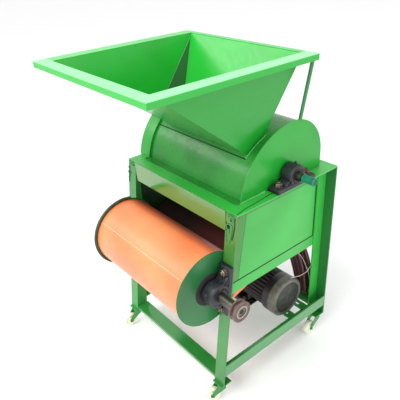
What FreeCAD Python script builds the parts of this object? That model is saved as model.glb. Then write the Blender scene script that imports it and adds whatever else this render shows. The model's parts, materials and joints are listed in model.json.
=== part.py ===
import FreeCAD, Part
import math
import os

V = FreeCAD.Vector

# Driving sizes of the stand, in millimetres
frame_width = 500.0        # outer tips of the left and right angle irons
frame_depth = 410.0        # front plane to rear plane at the top
frame_top = 640.0          # top face of the top rails above the floor
rear_plane = 325.0         # Y of the frame's rear plane
angle_leg = 40.0           # width of one flange of the angle iron
angle_wall = 4.0           # thickness of the angle iron
foot_rake = 65.3           # how far the front feet stand ahead of the frame's top
caster_height = 74.0       # floor to the underside of the legs
sheet = 3.0                # side panels, end plates and apron
panel_height = 223.0
panel_drop = 22.0          # panel's top edge below the frame's top
mid_bar_height = 36.0
bottom_rail_z = 108.0      # underside of the side bottom rails
front_bar_top = 88.0
front_bar_depth = 44.0
front_bar_lip = 9.0
apron_drop = 61.0
joint_gap = 1.5            # open seam between the panel and the bar below it

# Shelling drum, its cover and its grate
drum_y = 142.0
drum_block_height = 32.0   # shaft centre above the base of the drum's blocks
drum_radius = 105.0
drum_shaft_radius = 14.0
cover_front_radius = 200.0
cover_front_y = 163.5
cover_front_drop = 27.0    # centre of the front arc below the frame's top
cover_shoulder_radius = 125.0
cover_shoulder_y = 165.0
cover_inset = 7.0          # the bent sheet lies this far inside the end plates' rims
cover_wall = 2.0
cover_lip = 24.0
grate_gap = 9.0            # drum to grate
grate_bar_radius = 3.5
grate_bars = 13
grate_rib_depth = 14.0
beater_count = 4

# Feed hopper
hopper_rise = 179.0        # rim above the top of the cover
rim_front = -325.0
rim_rear = 190.0
rim_half_width = 258.0
rim_flange_side = 40.0
rim_flange_front = 35.0
rim_flange_rear = 18.0
rim_lip = 16.0
hopper_wall = 2.0
throat_half_width = 172.0
throat_front_y = 21.0
throat_front_drop = 60.0   # below the top of the cover
throat_rear_y = 91.0
throat_rear_rise = 3.0      # above the top of the cover
stay_radius = 5.0
stay_inset = 9.0           # from the rim's edges to the stay's upper end
stay_foot_back = 24.0      # stay's lower end behind the shoulder's centre
stay_foot_drop = 10.0

# Blower
fan_radius = 108.0         # outside of the orange wrap
fan_disc_radius = 113.0
fan_drop = 221.0           # blower's shaft below the frame's top
fan_wall = 2.0
fan_inlet_radius = 34.0
fan_blade_radius = 90.0
fan_blade_count = 4
fan_hub_radius = 24.0
duct_rise_deg = 17.0
duct_height = 105.0
duct_end_y = 30.0
fan_pulley_radius = 32.5
fan_pulley_width = 20.0
fan_pulley_face = 332.0
groove_depth = 10.0
groove_width = 11.0

# Bearing blocks
block_length = 152.0
block_width = 42.0
block_base = 15.0
block_height = 40.0        # shaft centre above the base of the other blocks
block_ring_radius = 36.0
drum_block_ring_radius = 31.0
block_ring_width = 34.0
insert_radius = 24.0
insert_width = 40.0
bolt_spacing = 114.0
bolt_radius = 6.0
bolt_head_height = 8.0
bolt_head_across = 19.0

# Motor
motor_y = 194.0
motor_axis_height = 64.0   # shaft centre above the motor rails
motor_body_radius = 58.0
motor_fin_height = 6.0
motor_fin_count = 28
motor_fin_thickness = 2.4
motor_body_left = -60.0
motor_body_right = 141.0
cowl_radius = 70.0
cowl_length = 54.0
shield_length = 18.0
motor_shaft_radius = 9.5
motor_foot_spacing = 126.0
motor_foot_left = -30.0
motor_foot_right = 80.0
motor_foot_depth = 30.0
motor_foot_wall = 8.0
motor_foot_web = 6.0       # the web ends this far inside the pad's ends
motor_foot_bolts = (-10.0, 60.0)
motor_plate_margin = 6.0
motor_rail_width = 30.0
motor_rail_front_y = 200.0  # this rail hangs under the side rails' flanges
motor_rail_rear_y = 257.0
motor_plate_wall = 6.0
motor_rail_wall = 4.0
slot_length = 60.0
motor_third_slot = 165.0   # middle of the rails' spare slot
terminal_box = (70.0, 60.0, 38.0)

# Belts of the blower, off their pulleys and hung on a hook
belt_width = 13.0
belt_depth = 8.5
belt_hook_y = 207.0
belt_hook_rise = 30.0      # above the panel's bottom edge
belt_hook_radius = 6.0
belt_top_radius = 19.0
belt_low_y = 297.0
belt_low_rise = 58.0       # above the bottom rails
belt_low_radius = 21.0

# Main drive on the left side
drive_x = -305.0           # middle of both drive pulleys
drive_width = 26.0
main_pulley_radius = 85.0
motor_pulley_radius = 36.0
drive_groove_width = 12.0
drive_groove_depth = 9.0
drive_belt_width = 11.2
drive_belt_depth = 8.0
coupling_radius = 22.0
coupling_length = 56.0

# Shaft ends
stub_radius = 9.5
sleeve_start = 270.0
sleeve_end = 308.0
sleeve_radius = 11.5
sleeve_wall = 4.0          # closed end of the cap

# Casters
wheel_radius = 25.0
wheel_width = 20.0
wheel_trail = 32.0
caster_set_forward = 8.0   # front casters ahead of the legs' middle
axle_radius = 3.0
fork_wall = 2.0
fork_side_gap = 1.5
fork_plate_radius = 17.0
king_pin_radius = 4.0
plate_size = 40.0
plate_wall = 3.0
caster_turns = {"front_right": -30.0, "front_left": -12.0, "rear_right": 0.0, "rear_left": 0.0}

# Clearances
run_gap = 0.05             # radial gap of a running fit
touch_gap = 0.3            # gap between faces on different moving bodies

# Places that follow from the sizes above
front_plane = rear_plane - frame_depth
half = frame_width / 2
inner = half - angle_leg               # inboard plane of the legs and rails
leg_height = frame_top - caster_height
skin = inner - sheet                   # inner face of panels and cover ends
block_x = inner + 22.0
drum_z = frame_top + drum_block_height
cover_front_z = frame_top - cover_front_drop
cover_top = cover_front_z + cover_front_radius
rim_top = cover_top + hopper_rise
throat_front_z = cover_top - throat_front_drop
throat_rear_z = cover_top + throat_rear_rise
fan_z = frame_top - fan_drop
panel_top = frame_top - panel_drop
panel_bottom = panel_top - panel_height
belt_hook_z = panel_bottom + belt_hook_rise
belt_low_z = bottom_rail_z + belt_low_rise
motor_rail_z = bottom_rail_z + angle_wall
motor_z = motor_rail_z + motor_rail_wall + motor_axis_height
rake_slope = foot_rake / leg_height
rake_deg = math.degrees(math.atan(rake_slope))


def front_y(z):
    """Y of the front plane of the raked front legs at height z."""
    return front_plane - rake_slope * (frame_top - z)


# The blower's shaft lies one block height ahead of the raked leg face
fan_y = front_y(fan_z) - block_height / math.cos(math.radians(rake_deg))


def box(x0, x1, y0, y1, z0, z1):
    """Box between two corners."""
    return Part.makeBox(x1 - x0, y1 - y0, z1 - z0, V(x0, y0, z0))


def rod_x(x0, x1, y, z, radius):
    """Cylinder along X."""
    return Part.makeCylinder(radius, x1 - x0, V(x0, y, z), V(1, 0, 0))


def tube_x(x0, x1, y, z, outer, inner_radius):
    """Tube along X."""
    return rod_x(x0, x1, y, z, outer).cut(rod_x(x0 - 1, x1 + 1, y, z, inner_radius))


def rod_between(a, b, radius):
    """Cylinder from point a to point b."""
    d = b.sub(a)
    return Part.makeCylinder(radius, d.Length, a, d)


def prism_x(points, x0, x1):
    """Polygon in the YZ plane, carried from x0 to x1."""
    wire = Part.makePolygon([V(x0, y, z) for y, z in points + points[:1]])
    return Part.Face(wire).extrude(V(x1 - x0, 0, 0))


def mirror_x(shape):
    """The same piece on the other side of the machine."""
    return shape.mirror(V(0, 0, 0), V(1, 0, 0))


def turned(shape, y, z, degrees):
    """Shape turned about an X-wise line through y, z."""
    copy = shape.copy()
    copy.rotate(V(0, y, z), V(1, 0, 0), degrees)
    return copy


def solids_of(shape):
    """Flat list of the solids in a shape or list of shapes."""
    if isinstance(shape, (list, tuple)):
        found = []
        for one in shape:
            found.extend(solids_of(one))
        return found
    return list(shape.Solids)


def export(name, shape):
    """Write one node, as one solid or a group of separate solids."""
    parts = solids_of(shape)
    body = parts[0] if len(parts) == 1 else Part.makeCompound(parts)
    valid = all(p.isValid() and p.isClosed() for p in parts)
    if not valid:
        print("not valid:", name)
    body.exportStep("parts/" + name + ".step")


def both_sides(shape):
    """A piece and its mirror image."""
    return [shape, mirror_x(shape)]


# Frame

def behind_front(offset):
    """Everything behind the raked front plane, moved back by offset."""
    low, high, far = 0.0, 1200.0, 900.0
    points = [(front_y(low) + offset, low), (front_y(high) + offset, high), (far, high), (far, low)]
    return prism_x(points, -far, far)


def angle_profile(x, y, dx, dy, z):
    """L section with its corner at x, y and flanges towards dx and dy."""
    w, t = angle_leg, angle_wall
    corners = [(0, 0), (w, 0), (w, t), (t, t), (t, w), (0, w)]
    pts = [V(x + dx * a, y + dy * b, z) for a, b in corners]
    return Part.Face(Part.makePolygon(pts + pts[:1]))


def front_leg():
    """Right front leg, its corner inboard and its flanges turned out and back."""
    top = frame_top - angle_wall
    face = angle_profile(inner, front_y(top), 1, 1, top)
    leg = face.extrude(V(0, front_y(caster_height) - front_y(top), caster_height - top))
    for hole in block_bolt_holes(fan_block_frame):
        leg = leg.cut(hole)
    return leg


def rear_leg():
    """Right rear leg, its corner inboard at the rear plane."""
    face = angle_profile(inner, rear_plane, 1, -1, caster_height)
    return face.extrude(V(0, 0, leg_height - angle_wall))


def side_top_rail():
    """Right top rail: a flange turned out that carries the drum's bearing."""
    top = box(inner, half, front_plane, rear_plane, frame_top - angle_wall, frame_top)
    y0 = front_plane + angle_leg
    y1 = rear_plane - angle_leg
    web = box(inner, inner + angle_wall, y0, y1, frame_top - angle_leg, frame_top - angle_wall)
    rail = top.fuse(web).removeSplitter()
    for hole in block_bolt_holes(drum_block_frame):
        rail = rail.cut(hole)
    return rail


def cross_top_rail(front):
    """Front or rear top rail between the side rails."""
    if front:
        y0, y1, web0 = front_plane, front_plane + angle_leg, front_plane
    else:
        y0, y1, web0 = rear_plane - angle_leg, rear_plane, rear_plane - angle_leg
    top = box(-inner, inner, y0, y1, frame_top - angle_wall, frame_top)
    web = box(-inner, inner, web0, web0 + angle_wall, frame_top - angle_leg, frame_top - angle_wall)
    return top.fuse(web).removeSplitter()


def side_bottom_rail():
    """Right bottom rail: outer web and a flange turned in that carries the motor rails."""
    z0, z1 = bottom_rail_z, bottom_rail_z + angle_leg
    y0 = front_y(z0) - angle_leg
    y1 = rear_plane - angle_wall
    web = box(half - angle_wall, half, y0, y1, z0, z1)
    flange = box(inner + angle_wall, half - angle_wall, y0, y1, z0, z0 + angle_wall)
    return web.fuse(flange).removeSplitter().common(behind_front(angle_wall))


def front_bottom_bar():
    """Front cross bar: a flat web with short lips turned down."""
    y0 = front_y(front_bar_top)
    z0 = front_bar_top - front_bar_lip
    outer = box(-inner, inner, y0, y0 + front_bar_depth, z0, front_bar_top)
    hollow = box(-inner, inner, y0 + sheet, y0 + front_bar_depth - sheet, z0 - 1, front_bar_top - sheet)
    return outer.cut(hollow)


def rear_bottom_bar():
    """Rear cross bar between the rear legs, level with the side bottom rails."""
    z0 = bottom_rail_z
    y0 = rear_plane - angle_leg
    top = box(-inner, inner, y0, rear_plane, z0, z0 + angle_wall)
    web = box(-inner, inner, rear_plane - angle_wall, rear_plane, z0 + angle_wall, z0 + angle_leg)
    return top.fuse(web).removeSplitter()


def side_panel():
    """Right side panel, against the inboard faces of the legs."""
    y0 = front_y(panel_bottom) + angle_leg - 5.0
    return box(skin, inner, y0, rear_plane - angle_leg - joint_gap, panel_bottom, panel_top)


def mid_bar():
    """Flat bar under the right side panel."""
    z1 = panel_bottom - joint_gap
    y0 = front_y(z1) + sheet
    bar = box(skin, inner, y0, rear_plane - sheet, z1 - mid_bar_height, z1)
    return bar


# Bearing blocks: each is built at the origin with its base under the shaft

def block_frame(x, y, z, degrees, height, ring_radius):
    """Placement of a bearing block: shaft centre and tilt about the shaft."""
    return (x, y, z, degrees, height, ring_radius)


drum_block_frame = block_frame(block_x, drum_y, drum_z, 0.0, drum_block_height, drum_block_ring_radius)
fan_block_frame = block_frame(block_x, fan_y, fan_z, 90.0 - rake_deg, block_height, block_ring_radius)


def place_block(shape, frame):
    """Carry a shape from the block's own frame to the machine."""
    x, y, z, degrees = frame[:4]
    copy = shape.copy()
    copy.rotate(V(0, 0, 0), V(1, 0, 0), degrees)
    copy.translate(V(x, y, z))
    return copy


def bearing_block(frame):
    """Pillow block: base plate, tapering web and the ring round the insert."""
    w = block_width / 2
    h, r = frame[4:]
    length = block_length / 2
    base = box(-w, w, -length, length, -h, -h + block_base)
    rw = block_ring_width / 2
    web = prism_x([(-r - 9, -h + block_base), (r + 9, -h + block_base), (r, 0), (-r, 0)], -rw, rw)
    ring = rod_x(-rw, rw, 0, 0, r)
    body = base.fuse([web, ring]).cut(rod_x(-w, w, 0, 0, insert_radius))
    for side in (-1, 1):
        hole = Part.makeCylinder(bolt_radius + 0.5, block_base + 2, V(0, side * bolt_spacing / 2, -h - 1))
        body = body.cut(hole)
    return place_block(body.removeSplitter(), frame)


def block_bolt_holes(frame):
    """Holes for the two bolts of a block, through what carries it."""
    holes = []
    for side in (-1, 1):
        start = V(0, side * bolt_spacing / 2, -frame[4] - angle_wall - 4)
        holes.append(place_block(Part.makeCylinder(bolt_radius + 0.5, angle_wall + 5, start), frame))
    return holes


def hexagon(across, height, base):
    """Hexagonal prism about Z, standing on base."""
    r = across / math.sqrt(3)
    pts = []
    for k in range(6):
        a = math.radians(60 * k)
        pts.append(V(base.x + r * math.cos(a), base.y + r * math.sin(a), base.z))
    return Part.Face(Part.makePolygon(pts + pts[:1])).extrude(V(0, 0, height))


def block_bolts(frame):
    """Two bolts with nuts that hold a block on the angle iron."""
    bolts = []
    top = -frame[4] + block_base
    under = -frame[4] - angle_wall
    for side in (-1, 1):
        y = side * bolt_spacing / 2
        head = hexagon(bolt_head_across, bolt_head_height, V(0, y, top))
        nut = hexagon(bolt_head_across, bolt_head_height, V(0, y, under - bolt_head_height))
        low = under - bolt_head_height - 3
        shank = Part.makeCylinder(bolt_radius, top + bolt_head_height - low, V(0, y, low))
        bolts.append(place_block(shank.fuse([head, nut]), frame))
    return bolts


def insert_ring(frame):
    """Bearing insert that turns with the shaft."""
    x, y, z = frame[:3]
    w = insert_width / 2
    ring = tube_x(x - w, x + w, y, z, insert_radius - run_gap, drum_shaft_radius)
    screw = Part.makeCylinder(2.5, 2.0, V(x + w - 4, y, z + insert_radius - run_gap - 0.6))
    return ring.cut(screw)


# Shelling drum

def drum_shaft():
    """Main shaft from the main pulley to the capped right end."""
    full = rod_x(-fan_pulley_face, sleeve_start - 1, drum_y, drum_z, drum_shaft_radius)
    stub = rod_x(sleeve_start - 1, sleeve_end - sleeve_wall, drum_y, drum_z, stub_radius)
    return full.fuse(stub).removeSplitter()


def shaft_sleeve():
    """Protective cap on the free right end of the main shaft."""
    cap = rod_x(sleeve_start, sleeve_end, drum_y, drum_z, sleeve_radius)
    return cap.cut(rod_x(sleeve_start - 1, sleeve_end - sleeve_wall, drum_y, drum_z, stub_radius))


def drum_discs():
    """Three discs on the main shaft that carry the beater bars."""
    discs = []
    reach = skin - 34.0
    for x in (-reach, 0.0, reach):
        discs.append(tube_x(x - 3, x + 3, drum_y, drum_z, drum_radius - 22, drum_shaft_radius))
    return discs


def beater_bars():
    """Beater bars lying along the drum, seated on the discs' rims."""
    reach = skin - 8.0
    low = math.sqrt((drum_radius - 22) ** 2 - 14.0 ** 2)
    high = math.sqrt(drum_radius ** 2 - 14.0 ** 2)
    bar = box(-reach, reach, drum_y - 14, drum_y + 14, drum_z + low, drum_z + high)
    seat = rod_x(-reach - 1, reach + 1, drum_y, drum_z, drum_radius - 22)
    bar = bar.cut(seat)
    return [turned(bar, drum_y, drum_z, 360.0 / beater_count * k + 20) for k in range(beater_count)]


def cover_profile(offset):
    """Closed YZ outline of the cover, drawn in by offset, from the frame's top upwards."""
    rf = cover_front_radius - offset
    rs = cover_shoulder_radius - offset
    z0 = frame_top
    y_front = cover_front_y - math.sqrt(rf ** 2 - (z0 - cover_front_z) ** 2)
    top = cover_front_z + rf
    a = V(0, y_front, z0)
    start = math.atan2(z0 - cover_front_z, y_front - cover_front_y)
    middle = (start + math.pi / 2) / 2
    b = V(0, cover_front_y + rf * math.cos(middle), cover_front_z + rf * math.sin(middle))
    c = V(0, cover_front_y, top)
    d = V(0, cover_shoulder_y, top)
    zs = top - rs
    e = V(0, cover_shoulder_y + rs * math.sqrt(0.5), zs + rs * math.sqrt(0.5))
    f = V(0, cover_shoulder_y + rs, zs)
    g = V(0, cover_shoulder_y + rs, z0)
    edges = [Part.Arc(a, b, c).toShape(), Part.LineSegment(c, d).toShape(), Part.Arc(d, e, f).toShape()]
    edges.append(Part.LineSegment(f, g).toShape())
    edges.append(Part.LineSegment(g, a).toShape())
    return Part.Face(Part.Wire(edges))


def cover_solid(offset, x0, x1):
    """Solid of the cover's outline between two X places."""
    face = cover_profile(offset)
    face.translate(V(x0, 0, 0))
    return face.extrude(V(x1 - x0, 0, 0))


def cover_shell():
    """Bent sheet over the drum, with a foot turned out at the front and the hopper's opening."""
    outer = cover_solid(cover_inset, -skin, skin)
    hollow = cover_solid(cover_inset + cover_wall, -skin - 1, skin + 1)
    shell = outer.cut(hollow)
    radius = cover_front_radius - cover_inset
    y0 = cover_front_y - math.sqrt(radius ** 2 - (frame_top - cover_front_z) ** 2)
    foot = box(-skin, skin, y0 - cover_lip, y0 + cover_wall, frame_top, frame_top + cover_wall)
    shell = shell.fuse(foot).removeSplitter()
    return shell.cut(hopper_inside(rim_top - frame_top))


def cover_end():
    """Right end plate of the cover, welded down the inside of the top rail."""
    plate = cover_solid(0.0, skin, inner)
    y0 = cover_front_y - math.sqrt(cover_front_radius ** 2 - (frame_top - cover_front_z) ** 2)
    skirt = box(skin, inner, y0, rear_plane - angle_leg, panel_top + joint_gap, frame_top)
    plate = plate.fuse(skirt).removeSplitter()
    return plate.cut(rod_x(skin - 1, inner + 1, drum_y, drum_z, drum_shaft_radius + 6))


def bearing_guard():
    """Hood that carries the cover's outline over the left bearing to the rail's edge."""
    face = block_x + block_width / 2 + 0.5 + sheet
    hood = cover_solid(0.0, -face + sheet, -inner).cut(cover_solid(cover_wall, -face, -inner + 1))
    plate = cover_solid(0.0, -face, -face + sheet)
    guard = hood.fuse(plate).removeSplitter()
    return guard.cut(rod_x(-face - 1, -face + sheet + 1, drum_y, drum_z, drum_shaft_radius + 6))


def grate_rib(x0):
    """Half ring under the drum that carries the grate's bars."""
    r0 = drum_radius + grate_gap
    ring = tube_x(x0, x0 + sheet, drum_y, drum_z, r0 + grate_rib_depth, r0)
    keep = box(x0 - 1, x0 + sheet + 1, drum_y - 300, drum_y + 300, drum_z - 300, drum_z - 14)
    rib = ring.common(keep)
    for bar in grate_rods(1.0):
        rib = rib.cut(bar)
    return rib


def grate_rods(stretch=0.0):
    """Bars along X on an arc under the drum."""
    rods = []
    r = drum_radius + grate_gap + grate_bar_radius + 1.0
    for k in range(grate_bars):
        a = math.radians(-165.0 + 150.0 * k / (grate_bars - 1))
        y = drum_y + r * math.cos(a)
        z = drum_z + r * math.sin(a)
        rods.append(rod_x(-skin - stretch, skin + stretch, y, z, grate_bar_radius))
    return rods


def grate_ribs():
    """Ribs at both ends and in the middle of the grate."""
    return [grate_rib(-skin), grate_rib(-sheet / 2), grate_rib(skin - sheet)]


# Hopper

hopper_left_x = rim_half_width - rim_flange_side
hopper_front_y = rim_front + rim_flange_front
hopper_rear_y = rim_rear - rim_flange_rear
side_lean = (hopper_left_x - throat_half_width) / (rim_top - throat_front_z)
front_lean = (throat_front_y - hopper_front_y) / (rim_top - throat_front_z)
rear_lean = (hopper_rear_y - throat_rear_y) / (rim_top - throat_rear_z)


def wedge(depth, grow):
    """Inverted pyramid under the rim, down by depth, each wall moved out by grow."""
    def corners(z):
        drop = rim_top - z
        gx = grow * math.sqrt(1 + side_lean ** 2)
        gf = grow * math.sqrt(1 + front_lean ** 2)
        gr = grow * math.sqrt(1 + rear_lean ** 2)
        x = hopper_left_x - side_lean * drop + gx
        y0 = hopper_front_y + front_lean * drop - gf
        y1 = hopper_rear_y - rear_lean * drop + gr
        return [V(-x, y0, z), V(x, y0, z), V(x, y1, z), V(-x, y1, z)]
    top = corners(rim_top)
    low = corners(rim_top - depth)
    wires = [Part.makePolygon(c + c[:1]) for c in (low, top)]
    return Part.makeLoft(wires, True, True)


def hopper_depth():
    """Height of the pyramid, stopped before its front and rear walls meet."""
    return rim_top - throat_front_z + 12.0


def hopper_inside(extra):
    """Free space inside the hopper."""
    return wedge(hopper_depth(), 0.0)


def hopper_walls():
    """Four sheets of the hopper, the side sheets butted between the front and rear ones."""
    whole = wedge(hopper_depth(), hopper_wall)
    inside = wedge(hopper_depth(), 0.0)
    shell = whole.cut(inside).cut(cover_solid(cover_inset, -half, half))
    wide = 2 * frame_width
    shell = shell.common(box(-wide, wide, -wide, wide, frame_top, rim_top - hopper_wall))
    span = hopper_left_x - side_lean * 0.0
    sides = []
    drop = hopper_depth()
    y0t, y1t = hopper_front_y, hopper_rear_y
    y0b = hopper_front_y + front_lean * drop
    y1b = hopper_rear_y - rear_lean * drop
    zt, zb = rim_top, rim_top - drop
    middle = prism_x([(y0t, zt), (y1t, zt), (y1b, zb), (y0b, zb)], -span * 2, span * 2)
    for sign in (-1, 1):
        x0, x1 = sorted((0, sign * wide))
        sides.append(shell.common(middle).common(box(x0, x1, -wide, wide, zb - 1, zt + 1)))
    rest = shell.cut(middle)
    split = [(-wide, zb - 1), ((y0b + y1b) / 2, zb - 1), ((y0t + y1t) / 2, zt + 1), (-wide, zt + 1)]
    ahead = prism_x(split, -wide, wide)
    return sides + [rest.common(ahead), rest.cut(ahead)]


def rim_bar(x0, x1, y0, y1, lip_box):
    """One strip of the rim with its turned-down lip."""
    flat = box(x0, x1, y0, y1, rim_top - hopper_wall, rim_top)
    return flat.fuse(lip_box).removeSplitter()


def hopper_rim():
    """Four angle strips round the hopper's mouth."""
    w, t = rim_half_width, hopper_wall
    z0, z1 = rim_top - rim_lip, rim_top - t
    front = rim_bar(-w, w, rim_front, hopper_front_y, box(-w, w, rim_front, rim_front + t, z0, z1))
    rear = rim_bar(-w, w, hopper_rear_y, rim_rear, box(-w, w, rim_rear - t, rim_rear, z0, z1))
    y0, y1 = hopper_front_y, hopper_rear_y
    lip = box(w - t, w, rim_front + t, rim_rear - t, z0, z1)
    right = rim_bar(hopper_left_x, w, y0, y1, lip)
    return [front, rear, right, mirror_x(right)]


def hopper_stay():
    """Thin bar from the rim's rear corner down to the cover's end plate."""
    top = V(rim_half_width - stay_inset, rim_rear - stay_inset, rim_top + hopper_wall)
    foot = V(inner - sheet / 2, cover_shoulder_y + stay_foot_back, cover_top - stay_foot_drop)
    bar = rod_between(foot, top, stay_radius)
    wide = frame_width
    bar = bar.cut(box(-wide, wide, -wide, wide, rim_top - hopper_wall, rim_top + wide))
    return bar.cut(cover_solid(0.0, -half - angle_leg, half + angle_leg))


# Blower

def fan_point(radius, degrees):
    """Point on a circle about the blower's shaft."""
    a = math.radians(degrees)
    return (fan_y + radius * math.cos(a), fan_z + radius * math.sin(a))


def duct_line(offset):
    """Start and end of a duct face, offset above the blower's centre line."""
    a = math.radians(duct_rise_deg)
    nx, nz = -math.sin(a), math.cos(a)
    start_y = fan_y + nx * offset
    start_z = fan_z + nz * offset
    run = (duct_end_y - start_y) / math.cos(a)
    return (start_y, start_z), (duct_end_y, start_z + run * math.sin(a))


def fan_sector(radius):
    """Solid of the wrap's arc, from the tongue over the top and front to the floor."""
    roof = duct_height - fan_radius
    tongue = duct_rise_deg + math.degrees(math.asin(roof / fan_radius))
    floor = 270.0 + duct_rise_deg
    return tongue, floor


def fan_wrap():
    """Orange sheet rolled round the blower, open to the duct at the rear."""
    reach = skin - sheet
    tongue, floor = fan_sector(fan_radius)
    ring = tube_x(-reach, reach, fan_y, fan_z, fan_radius, fan_radius - fan_wall)
    points = [(fan_y, fan_z)]
    steps = 6
    for k in range(steps + 1):
        a = floor + (360.0 + tongue - floor) * k / steps
        points.append(fan_point(fan_radius * 1.6, a))
    gap = prism_x(points, -reach - 1, reach + 1)
    return ring.cut(gap)


def fan_duct():
    """Duct plates behind the wrap: floor, roof and two sides."""
    reach = skin - sheet
    floor_a, floor_b = duct_line(-fan_radius)
    roof_a, roof_b = duct_line(duct_height - fan_radius)
    a = math.radians(duct_rise_deg)
    nx, nz = -math.sin(a), math.cos(a)
    t = fan_wall

    def plate(p, q, side, x0, x1):
        lift = [(p[0] + nx * t * side, p[1] + nz * t * side), (q[0] + nx * t * side, q[1] + nz * t * side)]
        return prism_x([p, q, lift[1], lift[0]], x0, x1)

    full = rod_x(-reach - 1, reach + 1, fan_y, fan_z, fan_radius)
    floor = plate(floor_a, floor_b, 1, -reach, reach)
    roof = plate(roof_a, roof_b, -1, -reach, reach).cut(full)
    low = (floor_a[0] + nx * t, floor_a[1] + nz * t)
    low_end = (floor_b[0] + nx * t, floor_b[1] + nz * t)
    high = (roof_a[0] - nx * t, roof_a[1] - nz * t)
    high_end = (roof_b[0] - nx * t, roof_b[1] - nz * t)
    side = prism_x([low, low_end, high_end, high], reach - t, reach)
    side = side.cut(full)
    return [floor, roof, side, mirror_x(side)]


def fan_end():
    """Right end disc of the blower, against the panel and the leg, with its air inlet."""
    disc = rod_x(skin - sheet, skin, fan_y, fan_z, fan_disc_radius)
    return disc.cut(rod_x(skin - sheet - 1, skin + 1, fan_y, fan_z, fan_inlet_radius))


def fan_end_bolt():
    """Bolt and spacer that hold the end disc on the side of the leg."""
    y, z = front_y(fan_z + 52) + 22.0, fan_z + 52.0
    pin = rod_x(skin - sheet - 6, inner + angle_wall + 9, y, z, 4.0)
    head = rod_x(inner + angle_wall, inner + angle_wall + 6, y, z, 7.5)
    nut = rod_x(skin - sheet - 6, skin - sheet, y, z, 7.5)
    return pin.fuse([head, nut])


def fan_bolt_hole():
    """Hole for the end disc's bolt."""
    y, z = front_y(fan_z + 52) + 22.0, fan_z + 52.0
    return rod_x(skin - sheet - 8, inner + angle_wall + 10, y, z, 4.0)


def fan_shaft():
    """Blower shaft through both blocks, its right end in the pulley."""
    return rod_x(-block_x - 34, fan_pulley_face - 2, fan_y, fan_z, drum_shaft_radius)


def fan_hubs():
    """Three hubs that carry the blades."""
    reach = skin - 50.0
    hubs = []
    for x in (-reach, 0.0, reach):
        hubs.append(tube_x(x - 6, x + 6, fan_y, fan_z, fan_hub_radius, drum_shaft_radius))
    return hubs


def fan_blades():
    """Flat blades seated on the hubs."""
    reach = skin - 14.0
    low = math.sqrt(fan_hub_radius ** 2 - 1.5 ** 2)
    blade = box(-reach, reach, fan_y - 1.5, fan_y + 1.5, fan_z + low, fan_z + fan_blade_radius)
    blade = blade.cut(rod_x(-reach - 1, reach + 1, fan_y, fan_z, fan_hub_radius))
    return [turned(blade, fan_y, fan_z, 360.0 / fan_blade_count * k + 30) for k in range(fan_blade_count)]


def fan_pulley():
    """Small cast V pulley on the blower shaft."""
    x0, x1 = fan_pulley_face - fan_pulley_width, fan_pulley_face
    xm = (x0 + x1) / 2
    r, g = fan_pulley_radius, groove_depth
    w = groove_width / 2
    profile = [(x0, 0), (x0, r), (xm - w, r), (xm - w * 0.45, r - g)]
    profile += [(xm + w * 0.45, r - g), (xm + w, r), (x1, r), (x1, 0)]
    pts = [V(x, fan_y, fan_z + h) for x, h in profile]
    body = Part.Face(Part.makePolygon(pts + pts[:1])).revolve(V(0, fan_y, fan_z), V(1, 0, 0), 360)
    dish = tube_x(x1 - 3, x1 + 1, fan_y, fan_z, r - 5, drum_shaft_radius + 6)
    return body.cut(dish).cut(rod_x(x0 - 1, x1 + 1, fan_y, fan_z, drum_shaft_radius))


# Motor

def motor_body():
    """Motor barrel with cooling fins along it."""
    x0, x1 = motor_body_left, motor_body_right
    barrel = rod_x(x0, x1, motor_y, motor_z, motor_body_radius)
    fins = []
    t = motor_fin_thickness / 2
    reach = motor_body_radius + motor_fin_height
    fin = box(x0 + 8, x1 - 8, motor_y - t, motor_y + t, motor_z, motor_z + reach)
    for k in range(motor_fin_count):
        a = 360.0 / motor_fin_count * (k + 0.5)
        if abs(a - 180.0) < 30.0:
            continue
        fins.append(turned(fin, motor_y, motor_z, a))
    body = barrel.fuse(fins)
    bore = rod_x(x0 - 1, x1 + 1, motor_y, motor_z, motor_shaft_radius + 4)
    return body.cut(bore)


def motor_shields():
    """End shields at both ends of the barrel."""
    shields = []
    left = (motor_body_left - shield_length, motor_body_left)
    right = (motor_body_right, motor_body_right + 12)
    for x0, x1 in (left, right):
        r = motor_body_radius
        shields.append(tube_x(x0, x1, motor_y, motor_z, r, motor_shaft_radius + run_gap))
    return shields


def motor_cowl():
    """Pressed cowl over the cooling fan, with a slotted end."""
    x0 = motor_body_right
    x1 = x0 + cowl_length
    r = cowl_radius
    cup = rod_x(x0, x1, motor_y, motor_z, r)
    cup = cup.makeFillet(7.0, [e for e in cup.Edges if abs(e.CenterOfMass.x - x1) < 0.01])
    cup = cup.cut(rod_x(x0 + 3, x1 - 2.5, motor_y, motor_z, r - 2.5))
    cup = cup.cut(rod_x(x0 - 1, x0 + 4, motor_y, motor_z, motor_body_radius))
    for ring in (18.0, 30.0, 42.0):
        slot = tube_x(x1 - 10, x1 + 5, motor_y, motor_z, ring + 5.0, ring)
        for k in range(3):
            web = box(x1 - 12, x1 + 6, motor_y - 3, motor_y + 3, motor_z, motor_z + 80)
            slot = slot.cut(turned(web, motor_y, motor_z, 120 * k))
        cup = cup.cut(slot)
    return cup


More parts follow.
